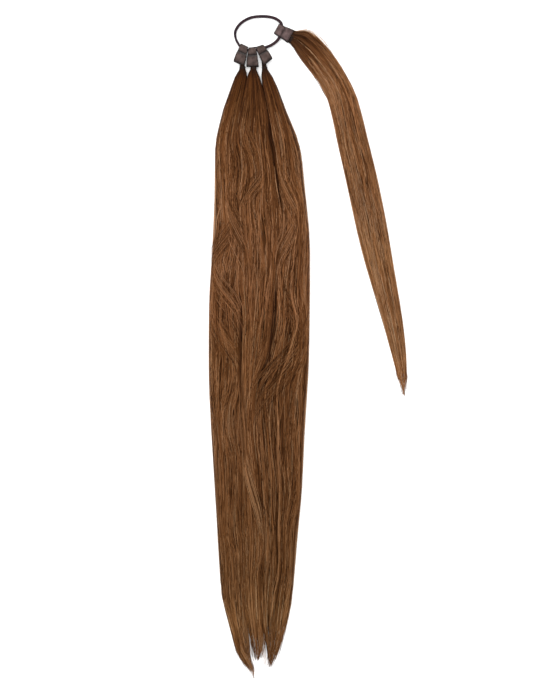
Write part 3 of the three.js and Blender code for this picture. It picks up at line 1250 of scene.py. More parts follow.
@dataclass
class HairBundle:
    """One bundle of hair: a core in the form of its solid, painted dark as shade, and the strands over
    it.

    The heading is the way in which the hair leaves its root, in degrees from +X, and the sections
    turn with the hair where the bundle follows it. The sides are the heights of its left and right
    sides as shares of its depth. Each of its locks has as many wisps as given. Its raggedness is
    the share of them that stop well before the tip.
    """

    node: str
    heading_deg: float
    follows: bool
    sides: tuple[float, float]
    partings: tuple[Parting, Parting]
    locks: int
    seed: int
    plans: dict[StrandKind, StrandPlan]
    finish: StrandFinish
    sweeps: tuple[Sweep, ...] = ()
    flyaways: tuple[Flyaway, ...] = ()
    wisps: int = 10
    raggedness: float = 0.3
    form: HairForm = field(init=False)
    flow: Flow | None = None
    neighbours: list[HairForm] = field(default_factory=list)

    CORE_HEIGHT = 0.8
    CORE_INSET = 0.4 * MM
    CORE_SHARE = 0.93
    CORE_SMOOTH_DEG = 60.0
    TOP_INSET = 0.9
    FULL_HALF = 14.0 * MM
    LEAST_FULLNESS = 0.15
    LEAST_ROOM = 6.0 * MM
    SOFT_EDGE = 0.1
    SIDE_FLATTENING = 0.8
    SIDE_POWER = 4
    BACKING = 0.06
    CRIMP = 0.28 * MM
    OWN_CRIMP = 0.5
    CRIMP_RISE = 0.8
    TABLE_GAP = 1.1
    TAPER = 14.0
    THIN_END = 0.3
    ARCH_POWER = 0.7
    NECK_KNOTS = (0.0, 7.0, 10.5, 13.0, 17.0, 26.0)
    KNOT_DENSITY = ((0.0, 1.3), (0.14, 1.2), (0.56, 1.2), (0.7, 0.7), (0.9, 0.8), (1.0, 1.2))
    KNOT_STEPS = 400
    KNOT_PLAY = 0.35

    def read_form(self, frame: dict) -> None:
        """Reads the bundle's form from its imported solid.

        Args:
            frame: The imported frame.
        """
        heading = turn_about_z(self.heading_deg) @ np.array([1.0, 0.0, 0.0])
        cut = CadCut(frame["nodes"][self.node])
        self.form = HairForm.read(cut, heading, self.follows, self.sides)

    def build(self, frame: dict, core_finish: CoreFinish) -> None:
        """Makes the core and the strands and sets them in the frame.

        Args:
            frame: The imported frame.
            core_finish: The finish of the core.
        """
        core = self.core(frame["nodes"][self.node])
        core.data.materials.clear()
        core.data.materials.append(core_finish.material())
        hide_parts(self.node)
        groups = self.strand_groups()
        strands = StrandMesh(groups).piece(f"{self.node}_strands")
        strands.data.materials.append(self.finish.material())
        for piece in (core, strands):
            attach(piece, ROOT_BODY)
        count = sum(len(group.tone) for group in groups)
        triangles = sum(len(polygon.vertices) - 2 for polygon in strands.data.polygons)
        LOG.info("%s: %d strands, %d triangles", self.node, count, triangles)

    def core(self, node: bpy.types.Object) -> bpy.types.Object:
        """Copies the solid and draws it in, so that the strands cover it.

        Args:
            node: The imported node.

        Returns:
            The core.
        """
        core = bpy.data.objects.new(f"{self.node}_core", node.data.copy())
        bpy.context.scene.collection.objects.link(core)
        edit_all(core)
        bpy.ops.mesh.remove_doubles(threshold=MERGE_REACH)
        bpy.ops.transform.resize(value=(1.0, 1.0, self.CORE_HEIGHT), center_override=ORIGIN)
        bpy.ops.transform.shrink_fatten(value=-self.CORE_INSET)
        self.cut_core_tip()
        bpy.ops.object.mode_set(mode="OBJECT")
        bpy.ops.object.shade_smooth_by_angle(angle=math.radians(self.CORE_SMOOTH_DEG))
        return core

    def cut_core_tip(self) -> None:
        """Cuts the core off square before the tip, in edit mode, where only strands are left."""
        end = np.array(self.CORE_SHARE * self.form.length)
        spot = self.form.at(end, self.form.middle)
        back = np.cross(UP, self.form.at(end, self.form.across))
        bpy.ops.mesh.select_all(action="SELECT")
        bpy.ops.mesh.bisect(plane_co=tuple(spot), plane_no=tuple(back), use_fill=True, clear_inner=True)

    def strand_groups(self) -> list[Strands]:
        """Lays the strands of every kind, in a set order.

        Returns:
            The strands, with a group for each kind, sweep and flyaway.
        """
        random = np.random.default_rng(self.seed)
        makers = {
            StrandKind.LOCK: self.lock_strands,
            StrandKind.EDGE: self.edge_strands,
            StrandKind.UNDER: self.under_strands,
            StrandKind.STRAY: self.stray_strands,
            StrandKind.MINGLE: self.mingled_strands,
        }
        groups = [maker(random, self.plans[kind]) for kind, maker in makers.items()]
        for sweep in self.sweeps:
            groups.append(self.sweep_strands(random, self.plans[StrandKind.SWEEP], sweep))
        for flyaway in self.flyaways:
            groups.append(self.flyaway_strands(random, self.plans[StrandKind.FLYAWAY], flyaway))
        return groups

    def room(self, along: np.ndarray) -> np.ndarray:
        """Returns the half width at distances from the root, and not too little to lean across."""
        return np.maximum(self.form.at(along, self.form.half), self.LEAST_ROOM)

    def distances(self, draws: Draws, knots: int, short: np.ndarray) -> np.ndarray:
        """Spreads knots down the strands: set ones at the neck, and closer ones where the hair waves.

        Args:
            draws: The strands' random numbers.
            knots: The number of knots on each.
            short: How much shorter than the bundle each strand is, as a share.

        Returns:
            Distances from the root, a strand a row.
        """
        neck = np.array(self.NECK_KNOTS) * MM
        places, density = zip(*self.KNOT_DENSITY)
        fine = np.linspace(0.0, 1.0, self.KNOT_STEPS)
        spent = np.cumsum(np.interp(fine, places, density))
        spent = (spent - spent[0]) / (spent[-1] - spent[0])
        rest = knots - len(neck)
        play = draws.random.uniform(-self.KNOT_PLAY, self.KNOT_PLAY, (draws.count, rest))
        knot = np.arange(1, rest + 1)[None, :] + play
        knot[:, -1] = rest
        end = (1.0 - short) * self.form.length
        below = neck[-1] + np.interp(knot / rest, spent, fine) * (end - neck[-1])
        return np.concatenate([np.broadcast_to(neck, (draws.count, len(neck))), below], axis=1)

    def shortness(self, draws: Draws) -> np.ndarray:
        """Finds how much shorter than the bundle strands or wisps are.

        Args:
            draws: Their random numbers.

        Returns:
            Shares of the bundle's length, as a column.
        """
        style = EndStyle()
        short = np.abs(draws.near(style.spread))
        ragged = draws.chance(self.raggedness)
        full = draws.chance(style.full * (1.0 - self.raggedness))
        short = np.where(full, style.full_spread * short, short)
        return short + np.where(ragged & ~full, draws.even(0.0, style.ragged), 0.0)

    def kept_in(self, share: np.ndarray, left: np.ndarray, right: np.ndarray) -> np.ndarray:
        """Bends strands back softly where they would leave the bundle.

        Args:
            share: Places across.
            left: How far past the left side strands may go, as a share of the half width.
            right: How far past the right side.

        Returns:
            Places across, within the bundle's reach on each side.
        """
        edge = 1.0 + np.where(share < 0.0, left, right) - self.SOFT_EDGE
        over = np.abs(share) - edge
        soft = np.sign(share) * (edge + self.SOFT_EDGE * np.tanh(over / self.SOFT_EDGE))
        return np.where(over > 0.0, soft, share)

    def waved(
        self, along: np.ndarray, share: np.ndarray, sway: np.ndarray | float | None
    ) -> np.ndarray:
        """Moves strands aside with the waves of the fall.

        Args:
            along: Distances from the root, a strand a row.
            share: Places across.
            sway: How much of the waves each strand takes, or None for one that backs the others.

        Returns:
            Places across, with the outer sides of the fall kept.
        """
        fall = along / self.form.length
        crossings = (parting.crossing(fall) for parting in self.partings)
        if sway is None:
            crossings = (np.maximum(crossing, self.BACKING) for crossing in crossings)
        share = self.kept_in(share, *crossings)
        if self.flow is None or sway is None:
            return share
        moved = share + sway * self.flow.shift(self.form.place(along, share)) / self.room(along)
        return self.kept_in(moved, *(0.0 if parting.outer else 1.0 for parting in self.partings))

    def finished(
        self,
        along: np.ndarray,
        share: np.ndarray,
        tone: np.ndarray,
        radius: float,
        height: np.ndarray | float = TOP_INSET,
        lift: np.ndarray | float = 0.0,
        sway: np.ndarray | float | None = None,
        aside: np.ndarray | float = 0.0,
    ) -> Strands:
        """Turns paths in the form into strands.

        Args:
            along: Distances from the root, a strand a row.
            share: Places across.
            tone: The strands' tones, on any scale.
            radius: The thickest radius.
            height: Heights as a share of the top's height there.
            lift: Heights added in metres, where the bundle is full.
            sway: How much of the fall's waves each strand takes, or None for one behind the others.
            aside: How far strands are set to the right after that, in metres.

        Returns:
            The strands.
        """
        share = self.waved(along, share, sway)
        points = self.form.place(along, share)
        points = points + self.form.at(along, self.form.across) * np.asarray(aside)[..., None]
        floor = self.form.at(along, self.form.floor)
        fullness = np.clip(self.form.at(along, self.form.half) / self.FULL_HALF, self.LEAST_FULLNESS, 1.0)
        flattening = self.SIDE_FLATTENING * np.clip(np.abs(share), 0.0, 1.0) ** self.SIDE_POWER
        tops = [points[..., 2]] + [form.top_below(points) for form in self.neighbours]
        full_lift = lift * fullness * (1.0 - flattening)
        points[..., 2] = floor + (np.max(tops, axis=0) - floor) * height + full_lift
        return self.tapered(points, along, tone, radius)

    def tapered(
        self, points: np.ndarray, along: np.ndarray, tone: np.ndarray, radius: float
    ) -> Strands:
        """Gives lines of points their thickness, down to thin ends.

        Args:
            points: The lines, which are kept above the table.
            along: Distances from the root.
            tone: The strands' tones, as a column.
            radius: The thickest radius.

        Returns:
            The strands.
        """
        points[..., 2] = np.maximum(points[..., 2], self.TABLE_GAP * radius)
        left = (along[:, -1:] - along) / np.maximum(along[:, -1:], self.LEAST_ROOM)
        radii = radius * np.clip(left * self.TAPER, self.THIN_END, 1.0)
        return Strands(points, radii, tone[:, 0], along / self.form.length)

    def arched(self, rise: np.ndarray, crest: np.ndarray, sunk: float) -> np.ndarray:
        """Returns heights that come up from below and go down again, with a broad top."""
        return sunk + (crest - sunk) * np.clip(rise, 0.0, 1.0) ** self.ARCH_POWER

    def lock_strands(self, random: np.random.Generator, plan: StrandPlan) -> Strands:
        """Lays strands in locks that sway, pinch and lie over each other.

        Args:
            random: The bundle's random numbers.
            plan: Their number and thickness.

        Returns:
            The strands.
        """
        style = LockStyle()
        strands = Draws(random, plan.count)
        locks = Draws(random, self.locks)
        wisps = Draws(random, self.locks * self.wisps)
        lock = random.integers(0, self.locks, plan.count)
        wisp = lock * self.wisps + random.integers(0, self.wisps, plan.count)
        short = self.shortness(wisps)[wisp] + np.abs(strands.near(style.own_end))
        along = self.distances(strands, plan.knots, short)
        fall = along / self.form.length
        turn = FULL_TURN * along
        room = self.room(along)
        order = random.permutation(self.locks)[:, None]
        base = ((order + locks.even(*style.slot)) / self.locks * 2.0 - 1.0)[lock]
        drift = locks.near(style.drift)[lock]
        sway = locks.even(*style.sway)[lock]
        wave = locks.even(*style.wave)[lock]
        phase = locks.turn()[lock]
        width = locks.even(*style.width)[lock] * 2.0 / self.locks
        layer = locks.even(0.0, 1.0)[lock]
        loose = fade(fall, *style.neck)
        waviness = loose * (1.0 - style.calm * fade(fall, *style.calming))
        centre = base + drift * (ease(fall) - style.drift_middle)
        centre = centre + sway / room * waviness * np.sin(turn / wave + phase)
        pinch = 1.0 - style.pinch + style.pinch * np.sin(turn / (style.pinch_wave * wave) + 2.0 * phase)
        wisp_place = wisps.even(-1.0, 1.0)[wisp]
        wisp_phase = wisps.turn()[wisp]
        wisp_wave = wisps.even(*style.wisp_wave)[wisp]
        wander = style.wander / room * waviness * np.sin(turn / wisp_wave + wisp_phase)
        crimp_wave = wisps.even(*style.crimp_wave)[wisp]
        crimp = self.CRIMP * np.sin(turn / crimp_wave + 2.0 * wisp_phase)
        crimp = crimp + random.normal(0.0, self.OWN_CRIMP * self.CRIMP, along.shape)
        gather = 1.0 - style.gather * fade(along / along[:, -1:], *style.gathering)
        offset = wisp_place + strands.near(style.own_place) * gather
        aside = wisps.near(style.tip_spread)[wisp] * fade(fall, *style.tips)
        share = centre + width * pinch * offset + wander + crimp / room * loose
        wisp_rise = wisps.even(0.0, 1.0)[wisp]
        swell = np.sin(turn / (style.swell_wave * wave) + 3.0 * phase)
        lift = style.layer_rise * layer + style.lock_rise * (1.0 - np.clip(offset, -1.0, 1.0) ** 2)
        lift = lift + style.swell * waviness * swell + style.wisp_rise * wisp_rise
        lift = lift + strands.near(style.own_rise)
        lift = lift + random.normal(0.0, self.CRIMP_RISE * self.CRIMP, along.shape) * loose
        tone = locks.even(0.0, style.lock_tone)[lock] + wisps.even(0.0, style.wisp_tone)[wisp]
        tone = tone + strands.even(0.0, style.own_tone)
        # Painted light and shade: higher layers and wisps lighter, lower ones darker.
        tone = tone + style.layer_painted_shading * layer + style.rise_painted_shading * wisp_rise
        bend = locks.even(*style.bend)[lock]
        return self.finished(along, share, tone, plan.radius, lift=lift, sway=bend, aside=aside)

    def edge_strands(self, random: np.random.Generator, plan: StrandPlan) -> Strands:
        """Lays strands down the two sides of the bundle.

        Args:
            random: The bundle's random numbers.
            plan: Their number and thickness.

        Returns:
            The strands.
        """
        style = EdgeStyle()
        strands = Draws(random, plan.count)
        along = self.distances(strands, plan.knots, style.cut_back + self.shortness(strands))
        left = strands.chance(0.5)
        sway = style.sway * np.sin(FULL_TURN * along / style.wave + strands.turn())
        share = np.where(left, -1.0, 1.0) * (strands.even(*style.place) + sway)
        height = strands.even(*style.height)
        outer = np.where(left, *(parting.outer for parting in self.partings))
        tones = strands.even(0.0, 1.0)
        # Outer sides painted light where the edges glow, parting sides painted shade.
        tone = np.where(outer, between(*style.outer_painted_glow, tones), between(*style.inner_painted_shade, tones))
        return self.finished(along, share, tone, plan.radius, height)

    def under_strands(self, random: np.random.Generator, plan: StrandPlan) -> Strands:
        """Lays strands on the side that touches the table.

        Args:
            random: The bundle's random numbers.
            plan: Their number and thickness.

        Returns:
            The strands.
        """
        style = UnderStyle()
        strands = Draws(random, plan.count)
        along = self.distances(strands, plan.knots, style.cut_back + self.shortness(strands))
        sway = style.sway * np.sin(FULL_TURN * along / style.wave + strands.turn())
        share = strands.even(*style.place) + sway
        height = strands.even(*style.height)
        return self.finished(along, share, strands.even(*style.tone), plan.radius, height)

    def stray_strands(self, random: np.random.Generator, plan: StrandPlan) -> Strands:
        """Lays thin loose strands across the others.

        Args:
            random: The bundle's random numbers.
            plan: Their number and thickness.

        Returns:
            The strands.
        """
        style = StrayStyle()
        strands = Draws(random, plan.count)
        along = self.distances(strands, plan.knots, self.shortness(strands))
        fall = along / self.form.length
        phase = strands.turn()
        drift = strands.near(style.drift)
        wave = strands.even(*style.wave)
        share = strands.even(*style.place) + drift * (ease(fall) - style.drift_middle)
        share = share + style.sway * np.sin(FULL_TURN * along / wave + phase)
        lift = strands.even(*style.rise) * fade(fall, *style.neck) - style.sunk
        tone = strands.even(*style.tone)
        made = self.finished(along, share, tone, plan.radius, lift=lift, sway=style.bend)
        made.fall = between(style.first_fall, 1.0, made.fall)
        return made

    def mingled_strands(self, random: np.random.Generator, plan: StrandPlan) -> Strands:
        """Lays short slanting wisps that rise between the locks and sink in again.

        Args:
            random: The bundle's random numbers.
            plan: Their number and thickness.

        Returns:
            The strands.
        """
        style = MingleStyle()
        strands = Draws(random, plan.count)
        wisps = Draws(random, plan.count // style.strands)
        wisp = np.arange(plan.count) % wisps.count
        centre = wisps.even(*style.centre)
        wavy = fade(centre, *style.neck) * (1.0 - style.calm * fade(centre, *style.calming))
        slant = wisps.near(style.slant) * between(style.least_slant, 1.0, wavy)
        bow = wisps.near(style.bow) * between(style.least_bow, 1.0, wavy)
        span = wisps.even(*style.span)
        base = wisps.even(*style.place)
        time = np.linspace(-0.5, 0.5, plan.knots)[None, :]
        late = strands.near(style.late)
        along = (centre * self.form.length + time * span)[wisp] + late
        along = np.clip(along, 0.0, self.form.length)
        aside = (slant * time * span + bow * np.sin(FULL_TURN * time))[wisp]
        aside = aside + strands.near(style.own_place)
        aside = aside + random.normal(0.0, self.OWN_CRIMP * self.CRIMP, along.shape)
        share = base[wisp] + aside / self.room(along)
        crest = wisps.even(*style.crest)[wisp] + strands.near(style.own_rise)
        lift = self.arched(np.cos(np.pi * time), crest, style.sunk)
        tone = wisps.even(*style.tone)[wisp] + strands.even(0.0, style.own_tone)
        bend = wisps.even(*style.bend)[wisp]
        return self.finished(along, share, tone, plan.radius, lift=lift, sway=bend)

    def sweep_strands(
        self, random: np.random.Generator, plan: StrandPlan, sweep: Sweep
    ) -> Strands:
        """Lays one short lock that sweeps across the fall.

        Args:
            random: The bundle's random numbers.
            plan: Their number and thickness.
            sweep: Where the lock runs.

        Returns:
            The strands.
        """
        style = SweepStyle()
        strands = Draws(random, plan.count)
        hidden = min(style.most_hidden, sweep.sink / (sweep.end[1] - sweep.start[1]))
        time = np.linspace(-hidden, 1.0 + hidden, plan.knots)[None, :]
        late = strands.near(min(style.most_late, style.late * sweep.wide))
        offset = strands.even(-1.0, 1.0)
        turn = between(ease(np.clip(time, 0.0, 1.0)), time, sweep.run_on)
        spread = np.maximum(style.first_spread + sweep.flare * time, style.least_spread)
        across = between(sweep.start[0], sweep.end[0], turn) + sweep.wide * offset * spread
        points = self.flow.place(across, between(sweep.start[1], sweep.end[1], time + late))
        top = np.max([form.top_below(points) for form in [self.form] + self.neighbours], axis=0)
        crest = style.crest + style.roundness * (1.0 - offset**2) + strands.near(style.own_rise)
        rise = np.sin(np.pi * (time + hidden) / (1.0 + 2.0 * hidden))
        points[..., 2] = self.TOP_INSET * top + self.arched(rise, crest, style.sunk)
        tone = sweep.tone + style.own_tone * strands.even(-0.5, 0.5)
        along = np.maximum(self.form.middle[0, 1] - points[..., 1], 0.0)
        made = self.tapered(points, along, tone, plan.radius * sweep.thin)
        made.fall = np.minimum(made.fall, 1.0)
        return made

    def flyaway_strands(
        self, random: np.random.Generator, plan: StrandPlan, flyaway: Flyaway
    ) -> Strands:
        """Lays loose pale strands that bow out past the right side.

        Args:
            random: The bundle's random numbers.
            plan: Their number and thickness.
            flyaway: Where they leave the bundle and how far they reach.

        Returns:
            The strands.
        """
        style = FlyawayStyle()
        strands = Draws(random, plan.count)
        time = np.linspace(0.0, 1.0, plan.knots)[None, :]
        late = strands.even(-style.late, style.late)
        along = (between(flyaway.start, flyaway.end, time) + late * time) * MM
        share = strands.even(*style.place)
        bow = np.sin(np.pi * time) ** style.bow_power
        aside = strands.even(*style.reach) * flyaway.reach * MM * bow
        height = strands.even(*style.height)
        tone = strands.even(*style.tone)
        made = self.finished(along, share, tone, plan.radius, height, aside=aside)
        made.fall = np.broadcast_to(between(*style.fall, time), along.shape)
        return made


@dataclass
class FoldedTab:
    """A strip of napped tape folded over the elastic, its two ends round a hair root.

    The skews are how far the fold and the cut end lean from square, as a rise along the tab for
    each unit across it. The drops are distances from the fold. The lowest and highest corners are
    those of the tab with square ends, turned to point straight down.
    """

    node: str
    turn_deg: float
    finish: SuedeFinish
    fold_skew: float = 0.0
    end_skew: float = 0.0
    crease_drop: float = 7.4 * MM
    crease_height: float = 2.6 * MM
    stitch_drop: float = 7.4 * MM
    stitches: int = 6
    tape: float = 1.0 * MM
    casing_height: float = 5.5 * MM
    lo: np.ndarray = field(init=False)
    hi: np.ndarray = field(init=False)

    FOLD_STEPS = 6
    ACROSS_CUTS = 5
    LEAST_FLAT = 10.0 * MM
    END_MARGIN = 0.2 * MM
    CREASE_REACH = 1.7 * MM
    CREASE_HALF = 0.3 * MM
    EDGE_BEVEL = 0.16 * MM
    SMOOTH_DEG = 50.0
    MAP_ROWS = 30
    STITCH_LENGTH = 0.95 * MM
    STITCH_RADIUS = 0.2 * MM
    STITCH_SPAN = 0.8

    def build(self, frame: dict, thread: ThreadFinish) -> None:
        """Makes the tape and its row of stitches.

        Args:
            frame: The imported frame.
            thread: The finish of the stitches.
        """
        cut = CadCut(frame["nodes"][self.node])
        cut.triangles = self.straightened(cut.triangles @ turn_about_z(self.turn_deg))
        tape = self.folded_tape(cut)
        self.lay_map(tape, cut)
        tape.data.materials.append(self.finish.material())
        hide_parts(self.node)
        stitches = self.stitch_row(cut, tape)
        stitches.data.materials.append(thread.material())
        for piece, slot in ((tape, "tape"), (stitches, "thread")):
            self.set_in_place(piece)
            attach(piece, ROOT_BODY)

    @property
    def middle(self) -> float:
        """The place across of the tab's middle line."""
        return float(self.lo[0] + self.hi[0]) / 2.0

    @property
    def length(self) -> float:
        """The distance from the fold to the cut end."""
        return float(self.hi[1] - self.lo[1])

    def straightened(self, points: np.ndarray) -> np.ndarray:
        """Takes the lean of the fold and of the cut end out of the solid, and reads its box.

        Args:
            points: The solid's corners, turned to point straight down.

        Returns:
            The corners of a tab with square ends.
        """
        self.lo, self.hi = points.reshape(-1, 3).min(axis=0), points.reshape(-1, 3).max(axis=0)
        across = points[..., 0] - self.middle
        left, right = points[across < 0.0], points[across > 0.0]
        self.lo[1] = (left[:, 1].min() + right[:, 1].min()) / 2.0
        self.hi[1] = (left[:, 1].max() + right[:, 1].max()) / 2.0
        change = (self.end_skew - self.fold_skew) / self.length
        along = points[..., 1] - (self.fold_skew + change * self.hi[1]) * across
        straight = points.copy()
        straight[..., 1] = along / (1.0 - change * across)
        return straight

    def width_at(self, cut: CadCut, drop: float) -> float:
        """Reads the tab's width from its solid.

        Args:
            cut: The tab's solid, turned to point straight down.
            drop: How far below the fold.

        Returns:
            The width there.
        """
        inside = float(np.clip(drop, self.END_MARGIN, self.length - self.END_MARGIN))
        section = cut.section(np.array([0.0, self.hi[1] - inside, 0.0]), np.array([0.0, 1.0, 0.0]))
        return float(np.ptp(section[:, 0]))

    def profile(self) -> list[tuple[float, float]]:
        """Draws the tape's middle line, seen from the side.

        Returns:
            Drops from the fold with heights, back end first.
        """
        half = self.tape / 2.0
        radius = self.casing_height / 2.0
        bend = radius - half
        top = self.hi[2] - half
        below = self.length - self.crease_drop
        back = [(self.length, half), (0.6 * self.length, half), (self.crease_drop, half), (radius, half)]
        fold = [
            (radius - bend * math.cos(angle), radius + bend * math.sin(angle))
            for angle in np.linspace(-math.pi / 2.0, math.pi / 2.0, self.FOLD_STEPS + 1)[1:]
        ]
        front = [
            (self.crease_drop - self.CREASE_REACH, self.casing_height - half),
            (self.crease_drop - self.CREASE_HALF, self.crease_height),
            (self.crease_drop + self.CREASE_HALF, self.crease_height),
            (self.crease_drop + 0.2 * below, top - 0.6 * half),
            (self.crease_drop + 0.5 * below, top),
            (self.length, top - 0.4 * half),
        ]
        return back + fold + front

    def folded_tape(self, cut: CadCut) -> bpy.types.Object:
        """Draws the tape out along its profile and gives it its thickness.

        Args:
            cut: The tab's solid, turned to point straight down.

        Returns:
            The tape, still turned to point straight down.
        """
        rows = self.profile()
        bpy.ops.mesh.primitive_plane_add(size=1.0)
        tape = bpy.context.active_object
        tape.name = f"{self.node}_tape"
        select_only(tape)
        bpy.ops.object.mode_set(mode="EDIT")
        self.keep_front_edge(tape)
        bpy.ops.mesh.select_all(action="SELECT")
        bpy.ops.mesh.subdivide(number_cuts=self.ACROSS_CUTS)
        drop, height = rows[0]
        width = self.width_at(cut, drop)
        bpy.ops.transform.translate(value=(0.0, 0.5, 0.0))
        bpy.ops.transform.resize(value=(width, 1.0, 1.0), center_override=ORIGIN)
        bpy.ops.transform.translate(value=(self.middle, self.hi[1] - drop, height))
        for next_drop, next_height in rows[1:]:
            step = (0.0, drop - next_drop, next_height - height)
            bpy.ops.mesh.extrude_region_move(TRANSFORM_OT_translate={"value": step})
            next_width = self.width_at(cut, next_drop)
            bpy.ops.transform.resize(
                value=(next_width / width, 1.0, 1.0),
                center_override=(self.middle, self.hi[1] - next_drop, next_height),
            )
            drop, height, width = next_drop, next_height, next_width
        bpy.ops.mesh.select_all(action="SELECT")
        bpy.ops.mesh.normals_make_consistent(inside=False)
        bpy.ops.object.mode_set(mode="OBJECT")
        apply_modifier(tape, "SUBSURF", levels=2, render_levels=2, boundary_smooth="PRESERVE_CORNERS")
        apply_modifier(tape, "SOLIDIFY", thickness=self.tape, offset=0.0, use_even_offset=True)
        apply_modifier(tape, "BEVEL", width=self.EDGE_BEVEL, segments=2, limit_method="ANGLE")
        select_only(tape)
        bpy.ops.object.shade_smooth_by_angle(angle=math.radians(self.SMOOTH_DEG))
        return tape

    @staticmethod
    def keep_front_edge(tape: bpy.types.Object) -> None:
        """Deletes all of a new plane but its edge towards -Y, in edit mode.

        Args:
            tape: The plane.
        """
        plane = bmesh.from_edit_mesh(tape.data)
        far = [corner for corner in plane.verts if corner.co.y > 0.0]
        bmesh.ops.delete(plane, geom=far, context="VERTS")
        bmesh.update_edit_mesh(tape.data)

    def lay_map(self, tape: bpy.types.Object, cut: CadCut) -> None:
        """Lays a map on the tape: across it, then from the fold over the crease to the cut end.

        Args:
            tape: The tape, still turned to point straight down. The crease comes at one half.
            cut: The tab's solid, turned the same way.
        """
        corners = corners_of(tape.data)
        drop = self.hi[1] - corners[:, 1]
        drops = np.linspace(0.0, self.length, self.MAP_ROWS)
        widths = np.array([self.width_at(cut, place) for place in drops])
        across = (corners[:, 0] - self.middle) / np.interp(drop, drops, widths) + 0.5
        along = np.interp(drop, (0.0, self.crease_drop, self.length), (0.0, 0.5, 1.0))
        lay_corner_map(tape.data, TAPE_MAP, np.stack([across, along], axis=-1))

    def stitch_row(self, cut: CadCut, tape: bpy.types.Object) -> bpy.types.Object:
        """Sews a row of short stitches across the tape.

        Args:
            cut: The tab's solid, turned to point straight down.
            tape: The tape, turned the same way.

        Returns:
            The stitches, still turned to point straight down.
        """
        span = self.STITCH_SPAN * self.width_at(cut, self.stitch_drop)
        made = []
        for place in np.linspace(-0.5, 0.5, self.stitches):
            bpy.ops.mesh.primitive_uv_sphere_add(segments=10, ring_count=6, radius=self.STITCH_RADIUS)
            stitch = bpy.context.active_object
            edit_all(stitch)
            long = self.STITCH_LENGTH / (2.0 * self.STITCH_RADIUS)
            bpy.ops.transform.resize(value=(long, 1.0, 1.0), center_override=ORIGIN)
            above = (self.middle + place * span, self.hi[1] - self.stitch_drop, 2.0 * self.hi[2])
            spot = tape.ray_cast(above, (0.0, 0.0, -1.0))[1]
            bpy.ops.transform.translate(value=tuple(spot))
            bpy.ops.object.mode_set(mode="OBJECT")
            bpy.ops.object.shade_smooth()
            made.append(stitch)
        return joined(made, f"{self.node}_stitches")

    def set_in_place(self, piece: bpy.types.Object) -> None:
        """Gives a piece the lean of the tab's ends and turns it to the tab's own direction.

        Args:
            piece: The tape or the stitches, turned to point straight down.
        """
        corners = corners_of(piece.data)
        drop = (self.hi[1] - corners[:, 1]) / self.length
        skew = between(self.fold_skew, self.end_skew, drop)
        corners[:, 1] += skew * (corners[:, 0] - self.middle)
        piece.data.vertices.foreach_set("co", corners.reshape(-1))
        turn_in_place(piece, self.turn_deg)
        piece.data.update()


@dataclass
class RootBinding:
    """Turns of thread round a hair root."""

    node: str
    turn_deg: float
    seed: int
    turns: int = 6
    thread_radius: float = 0.32 * MM
    lean: float = 0.05

    def build(self, frame: dict, thread: ThreadFinish) -> None:
        """Winds the thread.

        Args:
            frame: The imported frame.
            thread: The finish of the thread.
        """
        corners = CadCut(frame["nodes"][self.node]).corners @ turn_about_z(self.turn_deg)
        lo, hi = corners.min(axis=0), corners.max(axis=0)
        random = np.random.default_rng(self.seed)
        loops = [self.loop(lo, hi, place, random) for place in (np.arange(self.turns) + 0.5) / self.turns]
        binding = joined(loops, f"{self.node}_thread")
        binding.data.materials.append(thread.material())
        turn_in_place(binding, self.turn_deg)
        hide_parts(self.node)
        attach(binding, ROOT_BODY)
        LOG.info("%s: %d turns of thread", self.node, self.turns)

    def loop(
        self, lo: np.ndarray, hi: np.ndarray, place: float, random: np.random.Generator
    ) -> bpy.types.Object:
        """Makes one turn of thread.

        Args:
            lo: The binding's lowest corner, turned to point straight down.
            hi: Its highest corner.
            place: How far down the binding the turn lies, 0 to 1.
            random: The binding's random numbers.

        Returns:
            The turn.
        """
        half = (hi - lo) / 2.0
        middle = (hi + lo) / 2.0
        mean = (half[0] + half[2]) / 2.0
        bpy.ops.mesh.primitive_torus_add(
            major_radius=mean - self.thread_radius,
            minor_radius=self.thread_radius,
            major_segments=40,
            minor_segments=8,
        )
        turn = bpy.context.active_object
        edit_all(turn)
        lean = random.normal(0.0, self.lean, 2)
        upright = math.pi / 2.0 + lean[0]
        bpy.ops.transform.rotate(value=upright, orient_axis="X", center_override=ORIGIN)
        bpy.ops.transform.rotate(value=lean[1], orient_axis="Z", center_override=ORIGIN)
        flattened = (half[0] / mean, 1.0, half[2] / mean)
        bpy.ops.transform.resize(value=flattened, center_override=ORIGIN)
        spot = (middle[0], hi[1] - place * (hi - lo)[1], middle[2])
        bpy.ops.transform.translate(value=spot)
        bpy.ops.object.mode_set(mode="OBJECT")
        bpy.ops.object.shade_smooth()
        return turn


